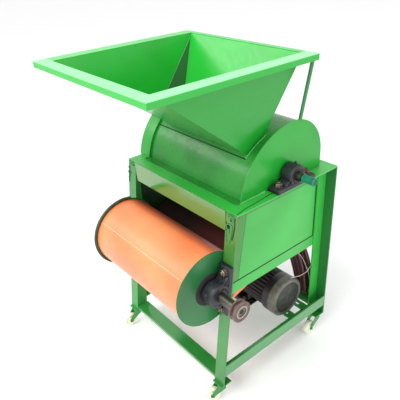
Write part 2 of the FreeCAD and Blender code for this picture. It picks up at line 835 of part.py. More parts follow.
def motor_feet():
    """Two feet under the barrel, bolted to the motor rails."""
    feet = []
    z0 = motor_rail_z + motor_rail_wall + motor_plate_wall
    for side in (-1, 1):
        y = motor_y + side * motor_foot_spacing / 2
        d = motor_foot_depth / 2
        pad = box(motor_foot_left, motor_foot_right, y - d, y + d, z0, z0 + motor_foot_wall)
        y0, y1 = sorted((y - side * 0.8 * d, motor_y + side * motor_body_radius / 3))
        x0, x1 = motor_foot_left + motor_foot_web, motor_foot_right - motor_foot_web
        web = box(x0, x1, y0, y1, z0, motor_z - 0.38 * motor_body_radius)
        web = web.cut(rod_x(motor_body_left, motor_body_right, motor_y, motor_z, motor_body_radius))
        foot = pad.fuse(web).removeSplitter()
        for x in motor_foot_bolts:
            foot = foot.cut(Part.makeCylinder(5.0, 40, V(x, y, z0 - 10)))
        feet.append(foot)
    return feet


def motor_plate():
    """Plate under the motor's feet, laid across the two rails."""
    z0 = motor_rail_z + motor_rail_wall
    reach = (motor_foot_spacing + motor_foot_depth) / 2
    x0, x1 = motor_foot_left - motor_plate_margin, motor_foot_right + motor_plate_margin
    plate = box(x0, x1, motor_y - reach, motor_y + reach, z0, z0 + motor_plate_wall)
    w = motor_rail_width / 2
    packing = box(x0, x1, motor_rail_front_y - w, motor_rail_front_y + w, bottom_rail_z, z0)
    plate = plate.fuse(packing).removeSplitter()
    for x in motor_foot_bolts:
        for side in (-1, 1):
            y = motor_y + side * motor_foot_spacing / 2
            plate = plate.cut(Part.makeCylinder(5.0, 40, V(x, y, z0 - 10)))
    return plate


def motor_bolts():
    """Four bolts through the feet and the slots of the rails."""
    bolts = []
    z0 = motor_rail_z
    for side in (-1, 1):
        for x in motor_foot_bolts:
            y = motor_y + side * motor_foot_spacing / 2
            low = z0 if side > 0 else z0 + motor_rail_wall
            top = z0 + motor_rail_wall + motor_plate_wall + motor_foot_wall
            shank = Part.makeCylinder(4.5, top + 2 - low + 8, V(x, y, low - 8))
            head = hexagon(15.0, 6, V(x, y, top))
            nut = hexagon(15.0, 6, V(x, y, low - 6))
            bolts.append(shank.fuse([head, nut]))
    return bolts


def motor_box():
    """Terminal box on top of the motor, with a cable gland on its end."""
    lx, ly, lz = terminal_box
    z0 = motor_z + motor_body_radius - 3
    body = box(0, lx, motor_y - ly / 2, motor_y + ly / 2, z0, z0 + lz)
    lid = box(-2, lx + 2, motor_y - ly / 2 - 2, motor_y + ly / 2 + 2, z0 + lz, z0 + lz + 5)
    gland = rod_x(lx, lx + 16, motor_y, z0 + lz / 2 + 4, 8.0)
    keep = motor_body()
    return body.fuse([lid, gland]).removeSplitter().cut(keep)


def motor_rails():
    """Two slotted cross rails that carry the motor."""
    rails = []
    reach = half - angle_wall
    for y, z0 in ((motor_rail_front_y, bottom_rail_z - motor_rail_wall), (motor_rail_rear_y, motor_rail_z)):
        z1 = z0 + motor_rail_wall
        w = motor_rail_width / 2
        rail = box(-reach, reach, y - w, y + w, z0, z1)
        for x in motor_foot_bolts + (motor_third_slot,):
            s = slot_length / 2
            slot = box(x - s, x + s, y - 4.6, y + 4.6, z0 - 1, z1 + 1)
            rail = rail.cut(slot)
        rails.append(rail)
    return rails


def coupling():
    """Rigid sleeve coupling between the motor shaft and the layshaft."""
    x1 = motor_body_left - shield_length - 8
    x0 = x1 - coupling_length
    xm = (x0 + x1) / 2
    sleeve = rod_x(x0, x1, motor_y, motor_z, coupling_radius)
    sleeve = sleeve.cut(rod_x(xm, x1 + 1, motor_y, motor_z, motor_shaft_radius))
    sleeve = sleeve.cut(rod_x(x0 - 1, xm + 0.01, motor_y, motor_z, drum_shaft_radius))
    groove = tube_x(xm - 2, xm + 2, motor_y, motor_z, coupling_radius + 1, coupling_radius - 3)
    return sleeve.cut(groove)


def layshaft():
    """Shaft from the coupling through its bearing to the motor pulley."""
    xm = motor_body_left - shield_length - 8 - coupling_length / 2
    return rod_x(drive_x - drive_width / 2 - 4, xm, motor_y, motor_z, drum_shaft_radius)


layshaft_block_x = -half + angle_wall + 1 + block_width / 2
layshaft_block_frame = block_frame(layshaft_block_x, motor_y, motor_z, 0.0, block_height, block_ring_radius)


def layshaft_bridge():
    """Plate on two bars across the motor rails that lifts the layshaft's bearing."""
    z1 = motor_z - block_height
    reach = block_length / 2
    x0, x1 = -half + angle_wall, layshaft_block_x + block_width / 2 + 1
    plate = box(x0, x1, motor_y - reach, motor_rail_rear_y + 14, z1 - angle_wall, z1)
    for hole in block_bolt_holes(layshaft_block_frame):
        plate = plate.cut(hole)
    y0, y1 = motor_y - reach, motor_rail_rear_y + 14
    front = box(x0, x1, y0, y0 + angle_wall, motor_rail_z, z1 - angle_wall)
    rear = box(x0, x1, y1 - angle_wall, y1, motor_rail_z + motor_rail_wall, z1 - angle_wall)
    return [plate, front, rear]


def motor_shaft():
    """Motor shaft, its free end in the coupling."""
    x0 = motor_body_left - shield_length - 8 - coupling_length / 2
    x1 = motor_body_right + cowl_length - 14
    return rod_x(x0, x1, motor_y, motor_z, motor_shaft_radius)


def motor_fan():
    """Cooling fan inside the cowl."""
    x0 = motor_body_right + 16
    x1 = x0 + 18
    hub = tube_x(x0, x1, motor_y, motor_z, 20.0, motor_shaft_radius)
    blade = box(x0, x1, motor_y - 1.5, motor_y + 1.5, motor_z + 18, motor_z + cowl_radius - 10)
    return hub.fuse([turned(blade, motor_y, motor_z, 60 * k) for k in range(6)])


# Belts

def belt_loop(y1, z1, r1, y2, z2, r2):
    """Face inside a taut loop round two circles in the YZ plane."""
    length = math.hypot(y2 - y1, z2 - z1)
    along = math.atan2(z2 - z1, y2 - y1)
    spread = math.acos((r2 - r1) / length)

    def at(y, z, r, a):
        return V(0, y + r * math.cos(a), z + r * math.sin(a))

    a0 = along + math.pi - spread
    a1 = along + math.pi + spread
    first = [at(y1, z1, r1, a) for a in (a0, along + math.pi, a1)]
    second = [at(y2, z2, r2, a) for a in (a1, along, a0)]
    edges = [Part.Arc(*first).toShape(), Part.LineSegment(first[2], second[0]).toShape()]
    edges.append(Part.Arc(*second).toShape())
    edges.append(Part.LineSegment(second[2], first[0]).toShape())
    return Part.Face(Part.Wire(edges))


def belt_outline(grow):
    """Loop of a stowed belt: a small arc over the hook and a larger arc below."""
    zt = belt_hook_z + belt_hook_radius + touch_gap - (belt_top_radius - belt_depth)
    rt, rl = belt_top_radius + grow, belt_low_radius + grow
    return belt_loop(belt_hook_y, zt, rt, belt_low_y, belt_low_z, rl)


def drive_belt():
    """Belt from the motor pulley up to the main pulley, sunk in their grooves."""
    floor = touch_gap - drive_groove_depth
    inside = [motor_pulley_radius + floor, main_pulley_radius + floor]
    outside = [r + drive_belt_depth for r in inside]
    loops = [belt_loop(motor_y, motor_z, r[0], drum_y, drum_z, r[1]) for r in (outside, inside)]
    belt = loops[0].cut(loops[1]).extrude(V(drive_belt_width, 0, 0))
    belt.translate(V(drive_x - drive_belt_width / 2, 0, 0))
    return belt


def drive_pulley(y, z, radius, bore, dished):
    """Single-groove pulley; a large one is dished between hub and rim."""
    x0, x1 = drive_x - drive_width / 2, drive_x + drive_width / 2
    pulley = rod_x(x0, x1, y, z, radius)
    a, b = drive_x - drive_groove_width / 2, drive_x + drive_groove_width / 2
    pulley = pulley.cut(tube_x(a, b, y, z, radius + 1, radius - drive_groove_depth))
    if dished:
        rim = radius - drive_groove_depth - 9
        for a, b in ((x0 - 1, x0 + 4), (x1 - 4, x1 + 1)):
            pulley = pulley.cut(tube_x(a, b, y, z, rim, bore + 14))
    return pulley.cut(rod_x(x0 - 1, x1 + 1, y, z, bore))


def stowed_belts():
    """Two spare belts side by side on the hook."""
    ring = belt_outline(0.0).cut(belt_outline(-belt_depth))
    belts = []
    for k in range(2):
        x0 = skin - 4 - (k + 1) * belt_width - k * touch_gap
        one = ring.extrude(V(belt_width, 0, 0))
        one.translate(V(x0, 0, 0))
        belts.append(one)
    return belts


def belt_hook():
    """Peg on the side panel that the belts hang on."""
    length = 2 * belt_width + 12
    peg = rod_x(skin - length, skin, belt_hook_y, belt_hook_z, belt_hook_radius)
    head = rod_x(skin - length - 3, skin - length, belt_hook_y, belt_hook_z, belt_hook_radius + 3)
    return peg.fuse(head)


# Casters

def caster_plate(x, y):
    """Top plate with its race and king pin."""
    s = plate_size / 2
    z1 = caster_height
    z0 = z1 - plate_wall
    plate = box(x - s, x + s, y - s, y + s, z0, z1)
    race = Part.makeCylinder(12.0, 4.0, V(x, y, z0 - 4))
    pin = Part.makeCylinder(king_pin_radius, 12.0, V(x, y, z0 - 16 + 4))
    low = z0 - 4 - 2 * touch_gap - fork_wall
    head = Part.makeCylinder(king_pin_radius + 3, 3.0, V(x, y, low - 3))
    return plate.fuse([race, pin, head])


def caster_fork(x, y):
    """Swivelling fork and its axle."""
    top = caster_height - plate_wall - 4 - touch_gap
    disc = Part.makeCylinder(fork_plate_radius, fork_wall, V(x, y, top - fork_wall))
    inside = wheel_width / 2 + fork_side_gap
    legs = []
    for side in (-1, 1):
        x0, x1 = sorted((x + side * inside, x + side * (inside + fork_wall)))
        cy = y - wheel_trail
        points = [(y + 9, top - 14), (y + 9, top), (y - 14, top), (cy - 7, wheel_radius + 2)]
        points += [(cy - 5, wheel_radius - 6), (cy + 5, wheel_radius - 6), (cy + 8, wheel_radius + 2)]
        legs.append(prism_x(points, x0, x1))
    cheek = box(x - inside - fork_wall, x + inside + fork_wall, y - 14, y + 9, top - fork_wall, top)
    fork = disc.fuse([cheek] + legs)
    fork = fork.cut(Part.makeCylinder(king_pin_radius + run_gap, 30, V(x, y, top - 20)))
    reach = inside + fork_wall + 3
    axle = rod_x(x - reach, x + reach, y - wheel_trail, wheel_radius, axle_radius)
    fork = fork.cut(axle)
    return [fork.removeSplitter(), axle]


def caster_wheel(x, y):
    """Nylon wheel with a rounded tread."""
    w = wheel_width / 2
    cy = y - wheel_trail
    wheel = rod_x(x - w, x + w, cy, wheel_radius, wheel_radius)
    wheel = wheel.makeFillet(3.0, [e for e in wheel.Edges if abs(abs(e.CenterOfMass.x - x) - w) < 0.01])
    for side in (-1, 1):
        x0, x1 = sorted((x + side * (w - 3), x + side * (w + 1)))
        wheel = wheel.cut(tube_x(x0, x1, cy, wheel_radius, wheel_radius - 7, 8.0))
    return wheel.cut(rod_x(x - w - 1, x + w + 1, cy, wheel_radius, axle_radius + run_gap))


# Build and write every node

os.makedirs("parts", exist_ok=True)

fan_hole = fan_bolt_hole()
right_front_leg = front_leg().cut(fan_hole)
export("leg_front_right", right_front_leg)
export("leg_front_left", mirror_x(right_front_leg))
export("leg_rear_right", rear_leg())
export("leg_rear_left", mirror_x(rear_leg()))
export("top_rails_side", both_sides(side_top_rail()))
export("top_rails_cross", [cross_top_rail(True), cross_top_rail(False)])
export("mid_bars", both_sides(mid_bar()))
export("bottom_rails_side", both_sides(side_bottom_rail()))
export("bottom_bar_front", front_bottom_bar())
export("bottom_bar_rear", rear_bottom_bar())
panel = side_panel().cut(fan_hole)
export("side_panel_right", [panel, belt_hook()])
export("side_panel_left", mirror_x(panel))
apron = box(-inner + 2, inner - 2, front_plane - sheet, front_plane, frame_top - apron_drop, frame_top - 1)
export("front_apron", apron)

export("cover_shell", cover_shell())
end_plate = cover_end()
export("cover_end_right", end_plate)
export("cover_end_left", mirror_x(end_plate))
export("bearing_guard_left", bearing_guard())
export("hopper_walls", hopper_walls())
export("hopper_rim", hopper_rim())
export("hopper_stays", both_sides(hopper_stay()))
export("grate", grate_rods() + grate_ribs())

drum_block = bearing_block(drum_block_frame)
export("drum_bearing_housings", both_sides(drum_block))
export("drum_shaft", drum_shaft())
export("drum_discs", drum_discs())
export("beater_bars", beater_bars())
export("drum_bearing_inserts", both_sides(insert_ring(drum_block_frame)))
export("shaft_sleeve", shaft_sleeve())

export("fan_wrap", fan_wrap())
export("fan_duct", fan_duct())
disc = fan_end().cut(fan_hole)
export("fan_end_right", disc)
export("fan_end_left", mirror_x(disc))
bolts = both_sides(Part.makeCompound(block_bolts(drum_block_frame)))
bolts += both_sides(Part.makeCompound(block_bolts(fan_block_frame)))
bolts += both_sides(fan_end_bolt())
bolts += block_bolts(layshaft_block_frame)
bolts += motor_bolts()
export("bolts", bolts)
fan_block = bearing_block(fan_block_frame)
export("fan_bearing_right", fan_block)
export("fan_bearing_left", mirror_x(fan_block))
export("fan_shaft", fan_shaft())
export("fan_impeller", fan_hubs() + fan_blades())
export("fan_bearing_inserts", both_sides(insert_ring(fan_block_frame)))
export("fan_pulley", fan_pulley())

export("motor_body", [motor_body()] + motor_shields() + motor_feet())
export("motor_plate", motor_plate())
export("motor_cowl", motor_cowl())
export("motor_terminal_box", motor_box())
export("motor_rails", motor_rails())
export("motor_shaft", [motor_shaft(), motor_fan()])
export("layshaft", [layshaft(), insert_ring(layshaft_block_frame), coupling()])
export("layshaft_bridge", layshaft_bridge())
export("layshaft_bearing", bearing_block(layshaft_block_frame))
export("motor_pulley", drive_pulley(motor_y, motor_z, motor_pulley_radius, drum_shaft_radius, False))
export("main_pulley", drive_pulley(drum_y, drum_z, main_pulley_radius, drum_shaft_radius, True))
export("drive_belt", drive_belt())
export("stowed_belts", stowed_belts())

plates = []
front_foot_y = front_y(caster_height) + angle_leg / 2 - caster_set_forward
rear_foot_y = rear_plane - angle_leg / 2
foot_x = inner + angle_leg / 2
for side, sx in (("right", 1), ("left", -1)):
    for end, y in (("front", front_foot_y), ("rear", rear_foot_y)):
        x = sx * foot_x
        plates.append(caster_plate(x, y))
        turn = caster_turns[end + "_" + side]
        pieces = caster_fork(x, y) + [caster_wheel(x, y)]
        for piece in pieces:
            piece.rotate(V(x, y, 0), V(0, 0, 1), turn)
        export("caster_fork_" + end + "_" + side, pieces[:2])
        export("caster_wheel_" + end + "_" + side, pieces[2])
export("caster_plates", plates)
print("written")
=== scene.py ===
import bpy
import json
import math
import numpy as np
from mathutils.bvhtree import BVHTree
from mathutils import Matrix, Vector


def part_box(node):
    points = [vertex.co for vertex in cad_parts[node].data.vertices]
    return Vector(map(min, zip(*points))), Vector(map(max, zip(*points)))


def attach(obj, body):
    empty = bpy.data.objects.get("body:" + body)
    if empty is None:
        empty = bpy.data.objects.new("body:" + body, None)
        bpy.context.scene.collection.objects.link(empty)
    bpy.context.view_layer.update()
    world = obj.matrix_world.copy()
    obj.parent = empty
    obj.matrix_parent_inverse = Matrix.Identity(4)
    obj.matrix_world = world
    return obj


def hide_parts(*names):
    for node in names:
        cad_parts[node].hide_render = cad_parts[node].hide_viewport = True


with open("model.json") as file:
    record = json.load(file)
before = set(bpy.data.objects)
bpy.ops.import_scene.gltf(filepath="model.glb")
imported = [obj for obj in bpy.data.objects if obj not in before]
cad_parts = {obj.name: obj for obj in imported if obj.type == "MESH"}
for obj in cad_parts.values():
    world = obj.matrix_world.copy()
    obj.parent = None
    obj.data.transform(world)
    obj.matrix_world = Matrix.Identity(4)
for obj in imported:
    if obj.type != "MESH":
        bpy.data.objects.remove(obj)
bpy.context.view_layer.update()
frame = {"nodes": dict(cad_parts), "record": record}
nodes = frame["nodes"]


# Colour and finish

def linear(rgb):
    # 8-bit display colour as linear light, with full alpha
    out = []
    for c in rgb:
        c = c / 255.0
        out.append(c / 12.92 if c <= 0.04045 else ((c + 0.055) / 1.055) ** 2.4)
    return out + [1.0]


def newMaterial(name):
    mat = bpy.data.materials.new(name)
    mat.use_nodes = True
    tree = mat.node_tree
    tree.nodes.clear()
    out = tree.nodes.new("ShaderNodeOutputMaterial")
    shader = tree.nodes.new("ShaderNodeBsdfPrincipled")
    tree.links.new(shader.outputs["BSDF"], out.inputs["Surface"])
    coord = tree.nodes.new("ShaderNodeTexCoord")
    return mat, tree, shader, coord.outputs["Object"]


def noise(tree, where, scale, detail=3.0, roughness=0.5, stretch=None):
    if stretch is not None:
        mapping = tree.nodes.new("ShaderNodeMapping")
        mapping.inputs["Scale"].default_value = stretch
        tree.links.new(where, mapping.inputs["Vector"])
        where = mapping.outputs["Vector"]
    node = tree.nodes.new("ShaderNodeTexNoise")
    node.inputs["Scale"].default_value = scale
    node.inputs["Detail"].default_value = detail
    node.inputs["Roughness"].default_value = roughness
    tree.links.new(where, node.inputs["Vector"])
    return node.outputs["Fac"]


def spread(tree, value, low, high, outLow, outHigh):
    node = tree.nodes.new("ShaderNodeMapRange")
    node.inputs["From Min"].default_value = low
    node.inputs["From Max"].default_value = high
    node.inputs["To Min"].default_value = outLow
    node.inputs["To Max"].default_value = outHigh
    tree.links.new(value, node.inputs["Value"])
    return node.outputs["Result"]


def mixColour(tree, factor, a, b):
    node = tree.nodes.new("ShaderNodeMix")
    node.data_type = "RGBA"
    tree.links.new(factor, node.inputs[0])
    for socket, value in ((node.inputs[6], a), (node.inputs[7], b)):
        if isinstance(value, list):
            socket.default_value = value
        else:
            tree.links.new(value, socket)
    return node.outputs[2]


def bump(tree, shader, height, strength, distance):
    node = tree.nodes.new("ShaderNodeBump")
    node.inputs["Strength"].default_value = strength
    node.inputs["Distance"].default_value = distance
    tree.links.new(height, node.inputs["Height"])
    tree.links.new(node.outputs["Normal"], shader.inputs["Normal"])


def mottle(tree, shader, pattern, rgb, shade):
    # Base colour between two tones, following a pattern
    factor = spread(tree, pattern, 0.35, 0.65, 0.0, 1.0)
    tree.links.new(mixColour(tree, factor, linear(rgb), linear(shade)), shader.inputs["Base Color"])


def paint(name, rgb, shade, roughness=0.34, coat=0.22, wave=0.0, coatRough=0.12, specular=0.5):
    # Sprayed enamel: broad shade drift, faint orange peel and slow waves of the sheet
    mat, tree, shader, where = newMaterial(name)
    mottle(tree, shader, noise(tree, where, 5.0, 2.0), rgb, shade)
    fine = noise(tree, where, 60.0, 2.0)
    gloss = spread(tree, fine, 0.3, 0.7, roughness - 0.05, roughness + 0.07)
    tree.links.new(gloss, shader.inputs["Roughness"])
    shader.inputs["Coat Weight"].default_value = coat
    shader.inputs["Coat Roughness"].default_value = coatRough
    shader.inputs["Specular IOR Level"].default_value = specular
    bump(tree, shader, noise(tree, where, 9.0, 2.0, 0.4), wave, 0.01)
    return mat


def metal(name, rgb, roughness=0.4, grain=None, tone=0.25):
    # Bare metal with a mottled tone, drawn out along grain
    mat, tree, shader, where = newMaterial(name)
    mottled = noise(tree, where, 30.0, 4.0, 0.6, grain)
    mottle(tree, shader, mottled, rgb, [v * (1 - tone) for v in rgb])
    shader.inputs["Metallic"].default_value = 1.0
    gloss = spread(tree, mottled, 0.3, 0.7, roughness - 0.06, roughness + 0.1)
    tree.links.new(gloss, shader.inputs["Roughness"])
    return mat


def matt(name, rgb, shade, roughness=0.6, grain=80.0, depth=0.3):
    # Cast, moulded or rubbery surface with a fine grain
    mat, tree, shader, where = newMaterial(name)
    mottled = noise(tree, where, grain, 4.0, 0.6)
    mottle(tree, shader, mottled, rgb, shade)
    shader.inputs["Roughness"].default_value = roughness
    bump(tree, shader, mottled, depth, 0.001)
    return mat


def shadeAlong(mat, tone, axis, low, high):
    # Blend towards tone as the place along one of the directions goes from low to high
    tree = mat.node_tree
    shader = next(n for n in tree.nodes if n.type == "BSDF_PRINCIPLED")
    coord = next(n for n in tree.nodes if n.type == "TEX_COORD").outputs["Object"]
    product = tree.nodes.new("ShaderNodeVectorMath")
    product.operation = "DOT_PRODUCT"
    product.inputs[1].default_value = directions[axis]
    tree.links.new(coord, product.inputs[0])
    colour = shader.inputs["Base Color"].links[0].from_socket
    factor = spread(tree, product.outputs["Value"], low, high, 0.0, 1.0)
    tree.links.new(mixColour(tree, factor, colour, linear(tone)), shader.inputs["Base Color"])


greenPaint = paint("GreenPaint", (58, 184, 70), (48, 170, 60))
hopperGreen = paint("HopperPaint", (29, 178, 50), (24, 166, 44), coat=0.2)
rimGreen = paint("RimPaint", (66, 190, 84), (54, 180, 70))
coverGreen = paint("CoverPaint", (44, 152, 52), (26, 118, 36), 0.3, 0.14, wave=0.12, specular=0.36)
endGreen = paint("EndPaint", (23, 162, 42), (19, 148, 37), coat=0.2)
apronGreen = paint("ApronPaint", (50, 130, 42), (76, 128, 42), 0.2, 0.8, wave=0.2)
deepGreen = paint("DeepGreenPaint", (42, 140, 54), (34, 124, 46))
barGreen = paint("BarPaint", (46, 144, 62), (36, 126, 50), 0.2, 0.9, wave=0.1)
stayGreen = paint("StayPaint", (48, 132, 66), (38, 116, 54))
panelLeft = paint("PanelPaintLeft", (58, 184, 70), (48, 170, 60))
railGreen = paint("RailPaint", (58, 184, 70), (48, 170, 60))
# Darker copy of the green paint for the right front leg: painted shade
frontLegShaded = paint("FrontLegShadedPaint", (46, 134, 58), (40, 120, 50))
rearLeg = paint("RearLegPaint", (58, 184, 70), (48, 168, 60))
marginGreen = paint("MarginPaint", (60, 148, 58), (64, 136, 48))
# Dark green of painted shade for the hopper's rear left corner
cornerShadeGreen = paint("CornerShadePaint", (22, 98, 34), (18, 86, 28), 0.5, 0.1)
beadGreen = paint("BeadGreen", (40, 132, 50), (20, 92, 28), 0.35, 0.2)
beadMid = paint("BeadMid", (70, 156, 80), (24, 104, 38), 0.28, 0.3)
# Pale bead green: a painted glint on the beads
beadGlint = paint("BeadGlint", (98, 204, 112), (58, 164, 74), 0.25, 0.4)
# Dark of painted shade and shadow for seams, gaps, steps and shadow lines
seamShade = matt("SeamShade", (12, 58, 20), (8, 44, 14), 0.8, 60.0, 0.1)
# Black of painted shade inside the burnt holes
holeBlack = matt("HoleBlack", (10, 26, 12), (6, 16, 8), 0.9, 60.0, 0.1)

orangePaint = paint("OrangePaint", (255, 146, 94), (250, 122, 76), 0.42, 0.35, 0.05, 0.32, 0.35)
ductOrange = paint("DuctPaint", (248, 120, 74), (240, 108, 64), 0.4, 0.1, 0.05)
# Pale orange for the wrap's seam: a painted highlight
seamGlintPaint = paint("SeamGlintPaint", (255, 206, 168), (255, 190, 150), 0.3, 0.2)
fanGreen = paint("FanGreenPaint", (34, 116, 58), (26, 96, 46), 0.36, 0.12)
rimOlive = matt("RimOlive", (60, 72, 46), (44, 54, 34), 0.5, 60.0, 0.2)

castBlack = matt("CastBlack", (46, 47, 54), (30, 30, 36), 0.4, 110.0, 0.8)
castBrown = matt("CastBrown", (112, 92, 84), (84, 66, 60), 0.5, 90.0, 0.5)
hubSteel = matt("HubSteel", (168, 160, 148), (140, 130, 118), 0.45, 90.0, 0.3)
pulleyGrey = matt("PulleyGrey", (116, 98, 92), (84, 60, 56), 0.45, 90.0, 0.4)
shadowBlack = matt("ShadowBlack", (34, 34, 34), (24, 24, 24), 0.7, 70.0, 0.2)
grilleBlack = matt("GrilleBlack", (84, 86, 80), (66, 68, 62), 0.5, 70.0, 0.2)
motorBlack = matt("MotorBlack", (28, 26, 28), (18, 17, 19), 0.42, 70.0, 0.3)
cowlGrey = matt("CowlGrey", (112, 113, 104), (92, 93, 86), 0.42, 60.0, 0.15)
beltRubber = matt("BeltRubber", (78, 38, 44), (50, 24, 30), 0.55, 160.0, 0.4)
# Pale for the wire, and for the belt's edge as a painted highlight
wireAndGlintPale = matt("WireAndGlintPale", (206, 196, 190), (186, 176, 170), 0.5, 60.0, 0.1)
tealCap = matt("TealCap", (22, 130, 100), (14, 108, 82), 0.4, 40.0, 0.05)
nylon = matt("CasterNylon", (236, 238, 216), (226, 228, 204), 0.35, 30.0, 0.05)
shaftSteel = metal("ShaftSteel", (120, 116, 110), 0.35, (2, 40, 40))
darkSteel = metal("DarkSteel", (86, 80, 76), 0.45)
zinc = metal("ZincBolts", (146, 128, 118), 0.36)

# Tones that follow the place on the machine, mostly painted shade, shadow and highlight, as noted at each
# entry.
# The last two directions are the outward normals of the hopper's right and front sheets.
directions = {
    "X": (1, 0, 0), "Y": (0, 1, 0), "Z": (0, 0, 1),
    "right": (0.982, 0, -0.189), "front": (0, -0.6093, -0.7929),
}
shadings = [
    # Painted shade: the duct darkens upwards, under the apron
    (ductOrange, (84, 30, 28), "Z", 0.436, 0.454),
    # Painted shade: the duct darkens towards the left
    (ductOrange, (24, 12, 10), "X", 0.13, -0.05),
    # Painted highlight: the rim's front strip lighter
    (rimGreen, (124, 220, 142), "Y", -0.2860, -0.2900),
    # Painted highlight: the rim's right strip lighter
    (rimGreen, (132, 222, 150), "X", 0.2150, 0.2190),
    # Painted shade: the rim's lip faces below its top darker
    (rimGreen, (30, 168, 50), "Z", 0.9912, 0.9902),
    # Painted shadow of the duct on the wrap's rear part
    (orangePaint, (176, 66, 42), "Y", -0.138, -0.098),
    # The cowl turns near black towards the motor
    (cowlGrey, (30, 28, 30), "X", 0.1700, 0.1640),
    # Painted shade on the outer face of the hopper's right sheet
    (hopperGreen, (16, 148, 38), "right", 0.0272, 0.0280),
    # Painted shade on the outer face of the hopper's front sheet
    (hopperGreen, (30, 138, 42), "front", -0.6092, -0.6084),
    # Painted shade on the inner face of the left panel
    (panelLeft, (18, 46, 20), "X", -0.2088, -0.2080),
    # Painted shade on the rail's face under its top flange
    (railGreen, (44, 138, 52), "Z", 0.6362, 0.6356),
    # The front leg turns olive towards its head
    (frontLegShaded, (70, 124, 44), "Z", 0.40, 0.56),
    # Painted shade on the rear leg's outer flange
    (rearLeg, (32, 114, 46), "X", 0.2142, 0.2160),
]
for mat, tone, axis, low, high in shadings:
    shadeAlong(mat, tone, axis, low, high)

finishes = {
    "green_paint": greenPaint, "dark_green_paint": deepGreen, "orange_paint": orangePaint,
    "bearing_iron": castBlack, "shaft_steel": shaftSteel, "rotor_iron": castBrown, "zinc_bolts": zinc,
    "motor_black": motorBlack, "cowl_grey": cowlGrey, "belt_rubber": beltRubber, "sleeve_teal": tealCap,
    "caster_nylon": nylon,
}
special = {
    "fan_end_left": fanGreen, "fan_end_right": fanGreen, "fan_impeller": fanGreen, "fan_duct": ductOrange,
    "hopper_walls": hopperGreen, "hopper_rim": rimGreen, "hopper_stays": stayGreen, "cover_shell": coverGreen,
    "cover_end_left": endGreen, "cover_end_right": endGreen, "bearing_guard_left": endGreen,
    "front_apron": apronGreen, "side_panel_left": panelLeft, "top_rails_side": railGreen,
    "leg_front_right": frontLegShaded, "leg_rear_right": rearLeg, "bottom_bar_front": barGreen,
    "bottom_rails_side": barGreen,
}
slotOf = {s["node"]: s["material_slot"] for s in frame["record"]["subparts"]}
for name, obj in nodes.items():
    obj.data.materials.clear()
    obj.data.materials.append(special.get(name, finishes[slotOf[name]]))
print("materials set")


# Softened edges on the plain frame pieces

edgeWidth = {
    "front_apron": 0.0008, "hopper_rim": 0.0006, "hopper_walls": 0.0004, "cover_shell": 0.0005, "other": 0.0007,
}
for name, obj in nodes.items():
    mod = obj.modifiers.new("edges", "BEVEL")
    mod.width = edgeWidth.get(name, edgeWidth["other"])
    mod.segments = 2
    mod.limit_method = "ANGLE"
    mod.angle_limit = math.radians(32)
    mod.harden_normals = True
    mod.use_clamp_overlap = True
    for poly in obj.data.polygons:
        poly.use_smooth = True
print("edges softened")


# Surfaces worked out as grids

def addMesh(name, part, mat, body, smooth=True):
    # Part is a (vertices, faces) pair; the piece rides on body and carries the given material
    verts, faces = part
    mesh = bpy.data.meshes.new(name)
    mesh.from_pydata([tuple(v) for v in verts], [], faces)
    mesh.validate()
    mesh.update()
    if smooth:
        mesh.polygons.foreach_set("use_smooth", [True] * len(mesh.polygons))
    mesh.materials.append(mat)
    obj = bpy.data.objects.new(name, mesh)
    bpy.context.scene.collection.objects.link(obj)
    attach(obj, body)
    return obj


def gridFaces(rows, cols, closeCols):
    # Quads between neighbouring rows, the last column joined to the first if closeCols
    faces = []
    for i in range(rows - 1):
        low, high = i * cols, (i + 1) * cols
        for j in range(cols if closeCols else cols - 1):
            k = (j + 1) % cols
            faces.append((low + j, low + k, high + k, high + j))
    return faces


def closingFaces(rows, cols):
    # Quads that join the last row of a closed grid to its first
    last = (rows - 1) * cols
    return [(last + j, last + (j + 1) % cols, (j + 1) % cols, j) for j in range(cols)]


def joinParts(parts):
    # Several (vertices, faces) pairs as one
    verts, faces, base = [], [], 0
    for v, f in parts:
        verts.append(np.asarray(v, float))
        faces += [tuple(i + base for i in face) for face in f]
        base += len(v)
    return np.vstack(verts), faces


def fixedNormals(part):
    # Faces turned outward where the closed surface came out inside out
    v, f = part
    volume = 0.0
    for face in f:
        a = v[face[0]]
        for i in range(1, len(face) - 1):
            volume += np.dot(a, np.cross(v[face[i]], v[face[i + 1]]))
    return (v, [tuple(reversed(face)) for face in f]) if volume < 0 else part


def arcPoints(cy, cz, r, a0, a1, count):
    # Points (y, z) on an arc from a0 to a1 degrees
    a = np.radians(np.linspace(a0, a1, count))
    return np.column_stack([cy + r * np.cos(a), cz + r * np.sin(a)])


def ringLoop(x, cy, cz, r, count):
    # Evenly spaced points of a full circle about an X-wise axis, without a repeated last point
    a = np.linspace(0, 2 * np.pi, count, endpoint=False)
    return np.column_stack([np.full(count, x), cy + r * np.cos(a), cz + r * np.sin(a)])


def lathe(profile, centre, turns=72):
    # Closed surface about an X-wise axis through centre.
    # The profile is a list of (x, radius), closed on itself or running from axis to axis.
    prof = np.array(profile, float)
    ang = np.linspace(0, 2 * np.pi, turns, endpoint=False)
    x = np.repeat(prof[:, 0], turns) + centre[0]
    y = (prof[:, 1][:, None] * np.cos(ang)[None, :]).ravel() + centre[1]
    z = (prof[:, 1][:, None] * np.sin(ang)[None, :]).ravel() + centre[2]
    return np.stack([x, y, z], 1), gridFaces(len(prof), turns, True)


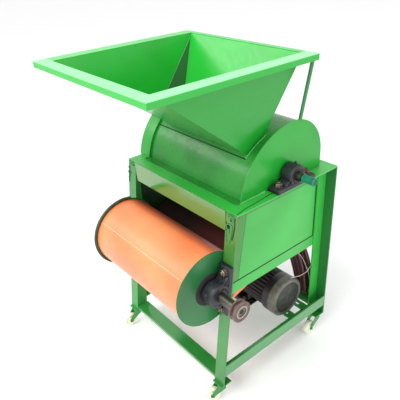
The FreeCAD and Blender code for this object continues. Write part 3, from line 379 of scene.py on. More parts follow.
def ringProfile(points, bevel=0.0006):
    # Closed (x, radius) polygon with its corners rounded, first point repeated at the end.
    # Each corner b is a quadratic curve from p0 to p2, bevel away from it along its two edges.
    pts = np.array(points, float)
    out = []
    for i, b in enumerate(pts):
        a, c = pts[i - 1], pts[(i + 1) % len(pts)]
        la, lc = np.linalg.norm(a - b), np.linalg.norm(c - b)
        t = min(bevel, la * 0.45, lc * 0.45)
        p0, p2 = b + (a - b) / la * t, b + (c - b) / lc * t
        for s in (0.0, 0.33, 0.67, 1.0):
            out.append((1 - s) ** 2 * p0 + 2 * s * (1 - s) * b + s ** 2 * p2)
    out.append(out[0])
    return out


def turnedRing(points, bevel, centre, turns):
    # Lathed ring of a closed profile with rounded corners, normals outward
    return fixedNormals(lathe(ringProfile(points, bevel), centre, turns))


def capsule(outline, x0, x1, edge, steps=4):
    # Plate of a closed YZ outline between x0 and x1, its rims rounded as quarter circles, its ends flat
    pts = np.array(outline, float)
    n = len(pts)
    tangent = np.roll(pts, -1, 0) - np.roll(pts, 1, 0)
    tangent /= np.linalg.norm(tangent, axis=1)[:, None]
    normal = np.stack([tangent[:, 1], -tangent[:, 0]], 1)
    area = 0.5 * np.sum(pts[:, 0] * np.roll(pts[:, 1], -1) - np.roll(pts[:, 0], -1) * pts[:, 1])
    if area < 0:
        normal = -normal
    turn = np.radians(np.linspace(0, 90, steps + 1))
    short, inset = edge * (1 - np.sin(turn)), edge * (1 - np.cos(turn))
    rings = list(zip(x0 + short[::-1], inset[::-1])) + list(zip(x1 - short, inset))
    verts = [np.column_stack([np.full(n, x), pts - normal * inwards]) for x, inwards in rings]
    centre = pts.mean(0)
    verts = np.vstack(verts + [[[x0, *centre]], [[x1, *centre]]])
    faces = gridFaces(len(rings), n, True)
    base, first = (len(rings) - 1) * n, len(rings) * n
    for j in range(n):
        k = (j + 1) % n
        faces.append((first, k, j))
        faces.append((first + 1, base + j, base + k))
    return verts, faces


def sweep(path, radius, sides=10, closed=False, lumps=None):
    # Round tube along a path; lumps scales the radius at each point
    p = np.array(path, float)
    n = len(p)
    tangent = np.roll(p, -1, 0) - np.roll(p, 1, 0) if closed else np.gradient(p, axis=0)
    tangent /= np.linalg.norm(tangent, axis=1)[:, None]
    ref = np.array([1.0, 0.0, 0.0]) if abs(tangent[0][0]) < 0.9 else np.array([0.0, 0.0, 1.0])
    u = np.cross(tangent, ref)
    u /= np.linalg.norm(u, axis=1)[:, None]
    v = np.cross(tangent, u)
    r = np.full(n, radius) if lumps is None else radius * np.asarray(lumps)
    ang = np.linspace(0, 2 * np.pi, sides, endpoint=False)
    ring = np.cos(ang)[None, :, None] * u[:, None, :] + np.sin(ang)[None, :, None] * v[:, None, :]
    verts = (p[:, None, :] + ring * r[:, None, None]).reshape(-1, 3)
    faces = gridFaces(n, sides, True)
    if closed:
        faces += closingFaces(n, sides)
    else:
        faces.append(tuple(range(sides))[::-1])
        faces.append(tuple((n - 1) * sides + j for j in range(sides)))
    return verts, faces


def alongLine(a, b, step):
    # Points from a to b, about step apart
    a, b = np.array(a, float), np.array(b, float)
    count = max(3, int(np.linalg.norm(b - a) / step) + 1)
    return a + (b - a) * np.linspace(0, 1, count)[:, None]


def weldBead(path, radius, seed):
    # Rippled bead: the radius swells at every pass and wanders a little
    rng = np.random.default_rng(seed)
    n = len(path)
    lumps = 0.82 + 0.2 * np.abs(np.sin(np.arange(n) * 0.9)) + rng.normal(0, 0.05, n)
    lumps[0] = lumps[-1] = 0.4
    wander = rng.normal(0, radius * 0.08, (n, 3))
    return sweep(np.asarray(path) + wander, radius, 8, False, lumps)


def beadLine(a, b, radius, seed):
    # Straight weld bead with two points to its radius
    return weldBead(alongLine(a, b, radius * 0.5), radius, seed)


def turned(part, degrees, centre, axes):
    # Part built about the origin, turned in the plane of two axes and carried to a place
    v, f = part
    a = math.radians(degrees)
    out = np.array(v, float)
    first, second = out[:, axes[0]].copy(), out[:, axes[1]].copy()
    out[:, axes[0]] = math.cos(a) * first - math.sin(a) * second
    out[:, axes[1]] = math.sin(a) * first + math.cos(a) * second
    return out + np.array(centre), f


def placed(part, centre, degrees=0.0):
    # Turned about X
    return turned(part, degrees, centre, (1, 2))


def mirrored(part, axis):
    # Mirror image across the plane of an axis, with the faces turned back outward
    v, f = part
    out = np.array(v, float)
    out[:, axis] *= -1
    return out, [tuple(reversed(face)) for face in f]


# Places shared with the stand, in metres

def axisOf(node):
    # Middle of a node's box in Y and Z
    lo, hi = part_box(node)
    return (lo[1] + hi[1]) / 2, (lo[2] + hi[2]) / 2


def frontY(z):
    # Front face of the raked front legs at a height
    return stand["frontTop"] - stand["rake"] * (stand["height"] - z)


stand = {"height": 0.640, "frontTop": -0.085, "rake": 65.3 / 566.0, "blockX": 0.232, "layshaftX": -0.224}
rakeDegrees = math.degrees(math.atan(stand["rake"]))
drumY, drumZ = axisOf("shaft_sleeve")
fanY, fanZ = axisOf("fan_pulley")
motorY, motorZ = axisOf("motor_pulley")
drumAxis = (0, drumY, drumZ)
fanAxis = (0, fanY, fanZ)
motorAxis = (0, motorY, motorZ)
blockPlaces = {
    "drum_bearing_right": ((stand["blockX"], drumY, drumZ), 0.0),
    "drum_bearing_left": ((-stand["blockX"], drumY, drumZ), 0.0),
    "fan_bearing_right": ((stand["blockX"], fanY, fanZ), 90 - rakeDegrees),
    "fan_bearing_left": ((-stand["blockX"], fanY, fanZ), 90 - rakeDegrees),
    "layshaft_bearing": ((stand["layshaftX"], motorY, motorZ), 0.0),
}


# Pillow blocks
# The lip is given as (x beyond the housing's face, radius beyond its ring).

blockShape = {
    "height": 0.040, "length": 0.152, "width": 0.042, "base": 0.015, "footEdge": 0.0035,
    "ring": 0.036, "thick": 0.037, "edge": 0.004, "lean": 18, "flareLow": 0.016, "flareHigh": 0.012,
    "lip": ((-0.004, -0.002), (0.0015, -0.004), (0.0015, -0.009), (-0.003, -0.0105)),
    "web": {"inner": 0.004, "outer": 0.036, "rise": 0.012, "half": 0.004, "edge": 0.0015},
    "nipple": ((0.0100, -0.004), (0.0108, 0.0005), (0.0114, 0.0034)), "nippleRadius": 0.0030,
    "nippleLumps": (1.4, 1.2, 0.7),
}


def pillowBlock(b):
    half, base, r, face = b["length"] / 2, b["base"], b["ring"], b["thick"] / 2
    floorZ = -b["height"]
    bend = base * 0.45
    foot = np.vstack([
        arcPoints(half - bend, floorZ + base - bend, bend, 0, 90, 8),
        arcPoints(-half + bend, floorZ + base - bend, bend, 90, 180, 8),
        [[-half, floorZ]], [[half, floorZ]]])
    low, high = floorZ + base * 0.6, floorZ + base * 1.2
    outline = np.vstack([
        [[r + b["flareLow"], low], [r + b["flareHigh"], high]],
        arcPoints(0, 0, r, -b["lean"], 180 + b["lean"], 48),
        [[-r - b["flareHigh"], high], [-r - b["flareLow"], low]]])
    parts = [capsule(foot, -b["width"] / 2, b["width"] / 2, b["footEdge"])]
    parts.append(capsule(outline, -face, face, b["edge"]))
    lip = [(face + dx, r + dr) for dx, dr in b["lip"]]
    lip += [(lip[-1][0], 0.0), (lip[0][0], 0.0)]
    ring = lathe(ringProfile(lip, 0.0008), (0, 0, 0), 64)
    parts += [ring, mirrored(ring, 0)]
    w = b["web"]
    for sy in (-1, 1):
        web = [[sy * (r + w["inner"]), floorZ + base * 0.9], [sy * (half - w["outer"]), floorZ + base * 0.9],
               [sy * (r - w["inner"]), floorZ + base + w["rise"]]]
        parts.append(capsule(web, -w["half"], w["half"], w["edge"]))
    nipple = [(0, y, r + dr) for y, dr in b["nipple"]]
    parts.append(sweep(nipple, b["nippleRadius"], 10, False, b["nippleLumps"]))
    return joinParts(parts)


drumBlockShape = dict(blockShape, height=drumZ - stand["height"], ring=0.031)
for name, (centre, turn) in blockPlaces.items():
    block = pillowBlock(drumBlockShape if name.startswith("drum") else blockShape)
    part = placed(block if centre[0] > 0 else mirrored(block, 0), centre, turn)
    obj = addMesh(name + "_casting", part, castBlack, "stand")
    if name in nodes:
        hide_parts(name)
    elif name.endswith("right"):
        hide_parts("drum_bearing_housings")
print("pillow blocks built")


# Bearing inserts that turn with their shafts

insertShape = {
    "race": ((-0.020, 0.0142), (-0.020, 0.0185), (-0.0165, 0.0185), (-0.0165, 0.0232), (0.0145, 0.0232),
             (0.0145, 0.0195), (0.0200, 0.0195), (0.0200, 0.0142)),
    "screwX": 0.0172, "screwLow": 0.0180, "screwHigh": 0.0203, "screwRadius": 0.0022,
}
race = lathe(ringProfile(insertShape["race"], 0.0007), (0, 0, 0), 64)
screwEnds = [(insertShape["screwX"], 0, insertShape[end]) for end in ("screwLow", "screwHigh")]
insert = joinParts([race, sweep(screwEnds, insertShape["screwRadius"], 12)])
for owner, y, z, body in (
        ("drum_bearing_inserts", drumY, drumZ, "rotor"),
        ("fan_bearing_inserts", fanY, fanZ, "fan_rotor")):
    for side, x in (("right", stand["blockX"]), ("left", -stand["blockX"])):
        part = placed(insert if x > 0 else mirrored(insert, 0), (x, y, z))
        obj = addMesh(owner[:-1] + "_" + side, part, darkSteel, body)
        if side == "right":
            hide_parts(owner)
print("inserts built")


# Pulleys with V grooves

def vPulley(p, centre):
    # Profile from the bore's left end round the rim, with its groove, to the bore's right end
    x0, x1, middle = p["x0"], p["x1"], (p["x0"] + p["x1"]) / 2
    r, w, bore, hub = p["r"], p["mouth"] / 2, p["bore"], p["hub"]
    floor = r - p["groove"]
    inner = floor - p["rim"]
    a, b = x0 + p["dish"], x1 - p["dish"]
    left = [(x0, bore), (x0, hub), (a, hub + 0.002), (a, inner), (x0, inner + 0.002), (x0, r)]
    groove = [(middle - w, r), (middle - w * 0.55, floor), (middle + w * 0.55, floor), (middle + w, r)]
    right = [(x1, r), (x1, inner + 0.002), (b, inner), (b, hub + 0.002), (x1, hub), (x1, bore)]
    return lathe(ringProfile(left + groove + right, 0.0009), centre, 96)


fanPulley = {
    "x0": 0.312, "x1": 0.3315, "r": 0.0298, "groove": 0.009, "mouth": 0.011, "bore": 0.0141,
    "hub": 0.0185, "dish": 0.0018, "rim": -0.004,
}
mainPulley = {
    "x0": -0.318, "x1": -0.292, "r": 0.085, "groove": 0.009, "mouth": 0.0122, "bore": 0.0141,
    "hub": 0.028, "dish": 0.004, "rim": 0.009,
}
motorPulley = dict(mainPulley, r=0.036, hub=0.020, dish=0.0005, rim=0.0)
for node, shape, centre, mat, body in (
        ("fan_pulley", fanPulley, fanAxis, pulleyGrey, "fan_rotor"),
        ("main_pulley", mainPulley, drumAxis, castBrown, "rotor"),
        ("motor_pulley", motorPulley, motorAxis, castBrown, "motor_rotor")):
    obj = addMesh(node + "_turned", vPulley(shape, centre), mat, body)
    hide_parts(node)
print("pulleys built")


# Belts with a V section

def beltPath(y1, z1, r1, y2, z2, r2, bow=0.0):
    # Loop round two circles as (y, z); bow bends the two free runs outward, or inward if negative
    length = math.hypot(y2 - y1, z2 - z1)
    along = math.atan2(z2 - z1, y2 - y1)
    half = math.acos((r2 - r1) / length)
    a = np.linspace(along + math.pi - half, along + math.pi + half, 40)
    b = np.linspace(along - (math.pi - half), along + (math.pi - half), 40)
    first = np.column_stack([y1 + r1 * np.cos(a), z1 + r1 * np.sin(a)])
    second = np.column_stack([y2 + r2 * np.cos(b), z2 + r2 * np.sin(b)])
    t = np.linspace(0, 1, 30)[1:-1, None]
    runA = first[-1] + (second[0] - first[-1]) * t
    runB = second[-1] + (first[0] - second[-1]) * t
    for run, sign in ((runA, 1), (runB, -1)):
        d = run[-1] - run[0]
        run += np.array([d[1], -d[0]]) / np.linalg.norm(d) * bow * sign * np.sin(np.pi * t)
    return np.vstack([first, runA, second, runB])


def vBelt(path, x, width, depth):
    # Trapezoid section swept round a closed path, which is the belt's outer face
    tangent = np.roll(path, -1, 0) - np.roll(path, 1, 0)
    tangent /= np.linalg.norm(tangent, axis=1)[:, None]
    outward = np.column_stack([tangent[:, 1], -tangent[:, 0]])
    if np.sum(outward * (path - path.mean(0))) < 0:
        outward = -outward
    cut, wide, narrow = 0.0008, width / 2, width * 0.33
    section = [(-wide, -cut), (-wide + cut, 0), (wide - cut, 0), (wide, -cut), (narrow, -depth + cut),
               (narrow - cut, -depth), (-narrow + cut, -depth), (-narrow, -depth + cut)]
    verts = np.zeros((len(path), len(section), 3))
    for k, (dx, dn) in enumerate(section):
        verts[:, k, 0] = x + dx
        verts[:, k, 1:] = path + outward * dn
    faces = gridFaces(len(path), len(section), True) + closingFaces(len(path), len(section))
    return fixedNormals((verts.reshape(-1, 3), faces))


drive = {"x": -0.305, "width": 0.0118, "depth": 0.0078, "lowRadius": 0.0350, "highRadius": 0.0843}
driveLoop = beltPath(motorY, motorZ, drive["lowRadius"], drumY, drumZ, drive["highRadius"])
driveBelt = vBelt(driveLoop, drive["x"], drive["width"], drive["depth"])
obj = addMesh("drive_belt_v", driveBelt, beltRubber, "stand")
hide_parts("drive_belt")
stowed = {
    "top": (0.207, 0.4208, 0.0188), "bottom": (0.2955, 0.166, 0.0222), "width": 0.0130, "depth": 0.0095,
    "loops": ((0.1965, -0.015), (0.1832, -0.011), (0.1699, -0.007)),
}
loops = []
for x, bow in stowed["loops"]:
    loops.append(vBelt(beltPath(*stowed["top"], *stowed["bottom"], bow), x, stowed["width"], stowed["depth"]))
obj = addMesh("stowed_belts_v", joinParts(loops), beltRubber, "stand")
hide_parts("stowed_belts")
print("belts built")


# Bolts

def stack(rings):
    # Rings of (x, y) given as (radius, z, angles), one above the other
    rows = [np.column_stack([q * np.cos(a), q * np.sin(a), np.full(len(a), z)]) for q, z, a in rings]
    return np.vstack(rows)


def hexHead(h):
    # Hex head along Z with a chamfered crown, a washer under it and a threaded stub above
    r, height = h["across"] / math.sqrt(3), h["height"]
    hexagon = np.radians(60 * np.arange(6) + 30)
    crown = stack([(r, 0.0, hexagon), (r, height * 0.86, hexagon), (r * 0.86, height, hexagon)])
    parts = [(crown, gridFaces(3, 6, True) + [tuple(range(12, 18)), tuple(range(6))[::-1]])]
    full = np.linspace(0, 2 * np.pi, 28, endpoint=False)
    q = h["washer"]
    washer = stack([(q, -0.0016, full), (q, -0.0003, full), (q * 0.96, 0.0, full)])
    parts.append((washer, gridFaces(3, 28, True) + [tuple(range(56, 84)), tuple(range(28))[::-1]]))
    steps, sides = 18, 14
    thread = h["shank"] * (0.94 + 0.06 * (np.arange(steps) % 2))
    thread[-1] = h["shank"] * 0.7
    body = stack([(q, z, full[::2]) for q, z in zip(thread, np.linspace(height, height + h["stub"], steps))])
    end = tuple((steps - 1) * sides + j for j in range(sides))
    parts.append((body, gridFaces(steps, sides, True) + [end]))
    return joinParts(parts)


def moved(part, shift):
    return np.array(part[0]) + np.array(shift), part[1]


boltShapes = {
    "block": {"across": 0.019, "height": 0.008, "washer": 0.0125, "shank": 0.006, "stub": 0.005},
    "foot": {"across": 0.015, "height": 0.006, "washer": 0.0095, "shank": 0.0045, "stub": 0.003},
    "side": {"across": 0.013, "height": 0.0055, "washer": 0.009, "shank": 0.004, "stub": 0.004},
}
boltSpots = {
    "reach": 0.057, "head": 0.0165, "nut": -0.0055, "footX": (-0.010, 0.060), "footY": (0.131, 0.257),
    "footZ": 0.1317, "sideX": 0.214, "sideIn": 0.022, "sideUp": 0.052,
}
boltParts = []
blockHead = hexHead(boltShapes["block"])
blockNut = mirrored(hexHead(dict(boltShapes["block"], stub=0.003)), 2)
for name, (centre, turn) in blockPlaces.items():
    height = drumBlockShape["height"] if name.startswith("drum") else blockShape["height"]
    for side in (-1, 1):
        for part, level in ((blockHead, boltSpots["head"]), (blockNut, boltSpots["nut"])):
            part = moved(part, [0, side * boltSpots["reach"], level - height])
            boltParts.append(placed(part, centre, turn))
footHead = hexHead(boltShapes["foot"])
for x in boltSpots["footX"]:
    for y in boltSpots["footY"]:
        boltParts.append(moved(footHead, [x, y, boltSpots["footZ"]]))
sideHead = turned(hexHead(boltShapes["side"]), 90, (0, 0, 0), (2, 0))
sideZ = fanZ + boltSpots["sideUp"]
for sign in (1, -1):
    part = sideHead if sign > 0 else mirrored(sideHead, 0)
    boltParts.append(moved(part, [sign * boltSpots["sideX"], frontY(sideZ) + boltSpots["sideIn"], sideZ]))
obj = addMesh("bolts_hex", joinParts(boltParts), zinc, "stand", smooth=False)
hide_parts("bolts")
print("bolts built")


# Motor barrel with fins, end shield, lugs and feet

motor = {
    "x0": -0.060, "x1": 0.141, "r": 0.0575, "fin": 0.0062, "count": 30, "share": 0.34, "flank": 0.06,
    "shield": ((-0.078, 0.0098), (-0.078, 0.024), (-0.0745, 0.027), (-0.0725, 0.044), (-0.068, 0.0555),
               (-0.0605, 0.0580), (-0.0600, 0.0570), (-0.0600, 0.0098)),
    "lug": ((-0.0725, 0.0500), (-0.0605, 0.0535)), "lugRadius": 0.0055,
}
feet = {
    "z": 0.122, "edge": 0.0015, "pad": (-0.030, 0.080), "padHalf": 0.015, "padThick": 0.008,
    "webs": ((-0.024, -0.012), (0.062, 0.074)),
    "outline": ((-0.004, 0.007), (0.030, 0.007), (0.044, 0.014), (0.030, 0.036), (0.012, 0.030)),
}


def finnedBarrel(m):
    # Radius as a wave of fins with smooth flanks, which stop short of both ends
    per = 12
    n = m["count"] * per
    ang = np.linspace(0, 2 * np.pi, n, endpoint=False)
    phase = (ang * m["count"] / (2 * np.pi)) % 1.0
    fin = np.clip((m["share"] / 2 + m["flank"] - np.abs(phase - 0.5)) / m["flank"], 0, 1)
    fin = fin * fin * (3 - 2 * fin)
    steps = np.array([0, 0.002, 0.006, 0.0075])
    xs = np.concatenate([m["x0"] + steps, m["x1"] - steps[::-1]])
    lift = np.array([0, 0, 0, 1, 1, 0, 0, 0])
    trim = np.array([-0.0015, 0, 0, 0, 0, 0, 0, -0.0015])
    r = m["r"] + trim[:, None] + lift[:, None] * fin[None, :] * m["fin"]
    y = motorY + r * np.cos(ang)[None, :]
    z = motorZ + r * np.sin(ang)[None, :]
    x = np.repeat(xs[:, None], n, 1)
    faces = gridFaces(len(xs), n, True)
    faces.append(tuple(range(n))[::-1])
    faces.append(tuple((len(xs) - 1) * n + j for j in range(n)))
    return np.stack([x, y, z], 2).reshape(-1, 3), faces


motorParts = [fixedNormals(finnedBarrel(motor)), turnedRing(motor["shield"], 0.0012, motorAxis, 96)]
for k in range(4):
    a = math.radians(45 + 90 * k)
    ends = [(x, motorY + r * math.cos(a), motorZ + r * math.sin(a)) for x, r in motor["lug"]]
    motorParts.append(sweep(ends, motor["lugRadius"], 14))
for y0, inward in zip(boltSpots["footY"], (1, -1)):
    low, high = feet["z"], feet["z"] + feet["padThick"]
    near, far = y0 - feet["padHalf"], y0 + feet["padHalf"]
    pad = [[near, low], [far, low], [far, high], [near, high]]
    motorParts.append(fixedNormals(capsule(pad, *feet["pad"], feet["edge"])))
    web = [[y0 + dy * inward, feet["z"] + dz] for dy, dz in feet["outline"]]
    for x0, x1 in feet["webs"]:
        motorParts.append(fixedNormals(capsule(web, x0, x1, feet["edge"])))
obj = addMesh("motor_body_cast", joinParts(motorParts), motorBlack, "stand")
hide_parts("motor_body")
for poly in obj.data.polygons:
    poly.use_smooth = len(poly.vertices) == 4
print("motor built")


# Cap on the free end of the main shaft
# Its profile is given as (mm from the end named, share of the radius).

capShape = {
    "left": ((0, 0.84), (0, 1), (2, 1), (3, 0.97)),
    "right": ((-6, 0.95), (-5, 1), (0, 1), (0, 0.66), (-3, 0.62), (-3, 0), (-4, 0), (-4, 0.84)),
}
capLo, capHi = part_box("shaft_sleeve")
capRadius = (capHi[2] - capLo[2]) / 2
profile = [(end + dx / 1000, capRadius * share)
           for end, side in ((capLo[0], "left"), (capHi[0], "right")) for dx, share in capShape[side]]
obj = addMesh("shaft_cap", turnedRing(profile, 0.0006, drumAxis, 56), tealCap, "rotor")
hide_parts("shaft_sleeve")
print("cap built")


# Caster wheels

def wheelPart(w):
    # Half profile from the hub's face over the web to the tread, mirrored for the other face
    h, r = w["width"] / 2, w["radius"]
    turn = np.radians(np.linspace(20, 160, 15))
    tread = list(zip(h * np.cos(turn), r - w["round"] * (1 - np.sin(turn))))
    half = [(w["hub"], w["bore"]), (w["hub"], w["hubRadius"]), (w["web"], w["hubRadius"] + 0.002),
            (w["web"], r - 0.0075), (h - 0.002, r - 0.006)]
    return turnedRing(half + tread + [(-x, q) for x, q in half[::-1]], 0.0007, (0, 0, 0), 64)


wheelShape = {
    "width": 0.020, "radius": 0.025, "round": 0.005, "hub": 0.0098, "hubRadius": 0.0085, "web": 0.0062,
    "bore": 0.0034,
}
casterTurns = {"front_right": -30.0, "front_left": -12.0, "rear_right": 0.0, "rear_left": 0.0}
wheel = wheelPart(wheelShape)
for corner, degrees in casterTurns.items():
    node = "caster_wheel_" + corner
    lo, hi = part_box(node)
    centre = [(lo[i] + hi[i]) / 2 for i in range(3)]
    part = turned(wheel, degrees, centre, (0, 1))
    obj = addMesh("wheel_moulded_" + corner, part, nylon, "wheel_" + corner)
    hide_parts(node)
print("wheels built")


# Weld beads: cover plates on the rails, frame joints, the rim's front corners
# Each bead is (start, end, radius, seed); a paired one has a seed for the right and one for the left.

railBeads = (
    ((0.2105, 0.226, 0.6405), (0.2105, 0.284, 0.6405), 0.0024, 4),
    ((0.2085, -0.0475, 0.6405), (0.2085, -0.0365, 0.6405), 0.0040, 5),
    ((0.2085, -0.0430, 0.6415), (0.2085, -0.0300, 0.6415), 0.0034, 6),
    ((-0.2085, -0.0475, 0.6405), (-0.2085, -0.0365, 0.6405), 0.0040, 7),
)
# Beads on the cover plate, drawn pale as a painted glint
plateBeads = (
    ((0.2105, -0.040, 0.6405), (0.2105, 0.058, 0.6405), 0.0026, 3),
    ((0.2085, 0.030, 0.6425), (0.2105, 0.058, 0.6425), 0.0016, 9),
)
pairedBeads = (
    ((0.2110, -0.0846, 0.6375), (0.2460, -0.0846, 0.6375), 0.0015, (25, 20)),
    ((0.2110, 0.2848, 0.6375), (0.2460, 0.2848, 0.6375), 0.0015, (26, 21)),
    ((0.2568, -0.3236, 0.9750), (0.2568, -0.3236, 0.9905), 0.0011, (31, 29)),
    ((0.2183, -0.2899, 0.9913), (0.2566, -0.3236, 0.9913), 0.0006, (35, 33)),
)
beads = [beadLine(*bead) for bead in railBeads]
for (x0, *start), (x1, *end), radius, seeds in pairedBeads:
    for sign, seed in zip((1, -1), seeds):
        beads.append(beadLine((sign * x0, *start), (sign * x1, *end), radius, seed))
addMesh("weld_beads", joinParts(beads), beadGreen, "stand")
plates = joinParts([beadLine(*bead) for bead in plateBeads])
addMesh("plate_beads", plates, beadGlint, "stand")
print("beads built")


# Joint of the hopper's throat with the cover: a dark line in front that is painted contact shadow, beads at the
# sides whose bright colour is a painted glint

cover = nodes["cover_shell"]
coverPoints = [cover.matrix_world @ v.co for v in cover.data.vertices]
coverTree = BVHTree.FromPolygons(coverPoints, [tuple(q.vertices) for q in cover.data.polygons])


def coverTop(x, y):
    return coverTree.ray_cast(Vector((x, y, 1.2)), Vector((0, 0, -1)))[0].z


throat = {
    "x": 0.1746, "y": 0.0168, "rear": 0.086, "lean": 0.19, "seamFrom": -0.2045, "coverX": (-0.203, 0.172),
    "sideX": 0.178, "lift": 0.0004,
}
xs = np.arange(throat["seamFrom"], throat["x"] + 0.001, 0.004)
frontShadowLine = [[x, throat["y"], coverTop(np.clip(x, *throat["coverX"]), throat["y"]) + 0.0002] for x in xs]
sideBeads = []
for sign in (1, -1):
    ys = np.arange(throat["y"] + 0.001, throat["rear"], 0.0012)
    zs = np.array([coverTop(sign * throat["sideX"], y) for y in ys])
    across = throat["x"] + throat["lean"] * (zs - zs[0]) + throat["lift"]
    sideBeads.append(weldBead(np.column_stack([sign * across, ys, zs + throat["lift"]]), 0.0019, 70 + sign))
addMesh("throat_shadow_line", sweep(frontShadowLine, 0.0016, 8), seamShade, "stand")
addMesh("throat_beads", joinParts(sideBeads), beadGlint, "stand")
print("throat joint built")


# Dark triangle inside the hopper over its rear left seam, a painted shade, with weld dots along the seam

cornerShade = {
    "corners": ((-0.2160, 0.1670, 0.9810), (-0.1878, 0.0365, 0.8350), (-0.1758, 0.0997, 0.8350)),
    "back": 0.0004, "face": 0.0012, "bead": 0.0006, "beadRadius": 0.0015, "beadStep": 0.0011,
}
corners = np.array(cornerShade["corners"])
facing = np.cross(corners[1] - corners[0], corners[2] - corners[0])
facing /= np.linalg.norm(facing) * (1 if facing[0] > 0 else -1)
prism = np.vstack([corners - facing * cornerShade["back"], corners + facing * cornerShade["face"]])
prismFaces = [(0, 1, 2), (5, 4, 3), (0, 3, 4, 1), (1, 4, 5, 2), (2, 5, 3, 0)]
addMesh("hopper_corner_shade", fixedNormals((prism, prismFaces)), cornerShadeGreen, "stand", smooth=False)
beadEnds = corners[:2] + facing * cornerShade["bead"]
dots = weldBead(alongLine(*beadEnds, cornerShade["beadStep"]), cornerShade["beadRadius"], 81)
addMesh("corner_beads", dots, beadMid, "stand")
print("gusset built")


# Dark strips inside the open seams between panel, bar and rear leg: painted shade in the gaps
# Each strip is its (x, y, z) box on the right side, with the left side as its mirror image.

def plate(lo, hi):
    (x0, y0, z0), (x1, y1, z1) = lo, hi
    v = [(x, y, z) for x in (x0, x1) for y in (y0, y1) for z in (z0, z1)]
    f = [(0, 1, 3, 2), (4, 6, 7, 5), (0, 4, 5, 1), (2, 3, 7, 6), (0, 2, 6, 4), (1, 5, 7, 3)]
    return np.array(v, float), f


shadeStripBoxes = (
    ((0.2050, 0.2790, 0.4000), (0.2068, 0.2930, 0.6170)),
    ((0.2095, 0.2802, 0.3960), (0.2103, 0.2850, 0.6000)),
    ((0.2095, frontY(0.395) + 0.040, 0.3930), (0.2103, 0.2850, 0.3972)),
)
shadeStrips = []
for sign in (1, -1):
    for (x0, *lo), (x1, *hi) in shadeStripBoxes:
        near, far = sorted((sign * x0, sign * x1))
        shadeStrips.append(plate((near, *lo), (far, *hi)))
addMesh("seam_shade_strips", joinParts(shadeStrips), seamShade, "stand", smooth=False)


# Narrow margin of the right panel along the front leg, the panel's lip beside it drawn pale as a painted
# highlight, and a dark line on the rail's top that is a painted shadow along a step

panel = {
    "edge": ((-0.0480, 0.3975), (-0.0275, 0.5225), (-0.0158, 0.5860)), "corner": (-0.0045, 0.5880, 0.0113),
    "marginEnd": (0.0120, 0.6015), "behindFront": 0.0395, "x": (0.2095, 0.2104),
    "lipEnds": ((0.0600, 0.5993), (0.2770, 0.5993)), "lipX": 0.2106, "lipRadius": 0.0007,
    "stepShadow": ((0.2447, -0.0818), (0.2376, -0.0467), (0.2357, -0.0121), (0.2325, 0.0218), (0.2290, 0.0640)),
    "stepShadowZ": 0.6399, "stepShadowRadius": 0.0013,
}
rounded = np.vstack([panel["edge"], arcPoints(*panel["corner"], 180, 90, 8)])
outer = np.vstack([rounded, panel["marginEnd"]])
inside = np.column_stack([frontY(outer[:, 1]) + panel["behindFront"], outer[:, 1]])
low, high = panel["x"]
span = len(outer)
section = ((inside, low), (inside, high), (outer, high), (outer, low))
rows = [np.column_stack([np.full(span, x), q]) for q, x in section]
backFaces = [(k, k + 1, 3 * span + k + 1, 3 * span + k) for k in range(span - 1)]
margin = fixedNormals((np.vstack(rows), gridFaces(4, span, False) + backFaces))
addMesh("panel_margin", margin, marginGreen, "stand", smooth=False)
lip = np.vstack([rounded, *panel["lipEnds"]])
lip = np.column_stack([np.full(len(lip), panel["lipX"]), lip])
addMesh("panel_lip_glint", sweep(lip, panel["lipRadius"], 8), beadGlint, "stand")
# Dark line along the step on the rail's top: painted shadow
stepShadow = [(x, y, panel["stepShadowZ"]) for x, y in panel["stepShadow"]]
addMesh("rail_step_shadow", sweep(stepShadow, panel["stepShadowRadius"], 8), seamShade, "stand")
print("strips built")


# Rough heads of the front legs: burnt holes drawn as flat dark discs whose dark is painted shade, with a collar
# of weld, heavy beads and dark lines of painted shadow
# Holes are (x, z, radius); beads and shadow lines are (points as (x, z), radius, seed).

legHoles = (
    (0.2222, 0.5985, 0.0078), (0.2300, 0.6190, 0.0044), (-0.2440, 0.5960, 0.0056), (-0.2455, 0.6120, 0.0030),
)
legBeads = (
    (((0.2318, 0.6080), (0.2330, 0.5900), (0.2312, 0.5720), (0.2262, 0.5540)), 0.0036, 50),
    (((0.2185, 0.6290), (0.2290, 0.6312), (0.2400, 0.6280)), 0.0040, 51),
    (((0.2145, 0.5860), (0.2150, 0.5700), (0.2168, 0.5520)), 0.0026, 52),
    (((-0.2460, 0.5890), (-0.2470, 0.5620)), 0.0028, 53),
    (((-0.2400, 0.6290), (-0.2170, 0.6270)), 0.0032, 54),
)
legShadowLines = (
    (((0.2425, 0.6300), (0.2432, 0.6020), (0.2400, 0.5780), (0.2368, 0.5640)), 0.0019, 60),
    (((0.2270, 0.6080), (0.2275, 0.5800)), 0.0013, 61),
    (((0.2120, 0.6100), (0.2124, 0.5800)), 0.0016, 62),
)


def burntHole(x, z, r, seed):
    # Uneven disc just proud of the leg's front face, with a lumpy collar round it
    rng = np.random.default_rng(seed)
    count = 36
    ang = np.linspace(0, 2 * np.pi, count, endpoint=False)
    wobble = r * (1 + 0.16 * np.sin(ang * 2 + seed) + 0.08 * np.sin(ang * 5))
    height = z + 1.15 * wobble * np.sin(ang)
    ring = np.column_stack([x + wobble * np.cos(ang), frontY(height) - 0.0006, height])
    centre = np.array([[x, frontY(z) - 0.0007, z]])
    fan = [(k, (k + 1) % count, count) for k in range(count)]
    disc = (np.vstack([ring - np.array([0, 0.0002, 0]), centre]), fan)
    return disc, sweep(ring, 0.0016, 8, True, 0.8 + 0.5 * rng.random(count))


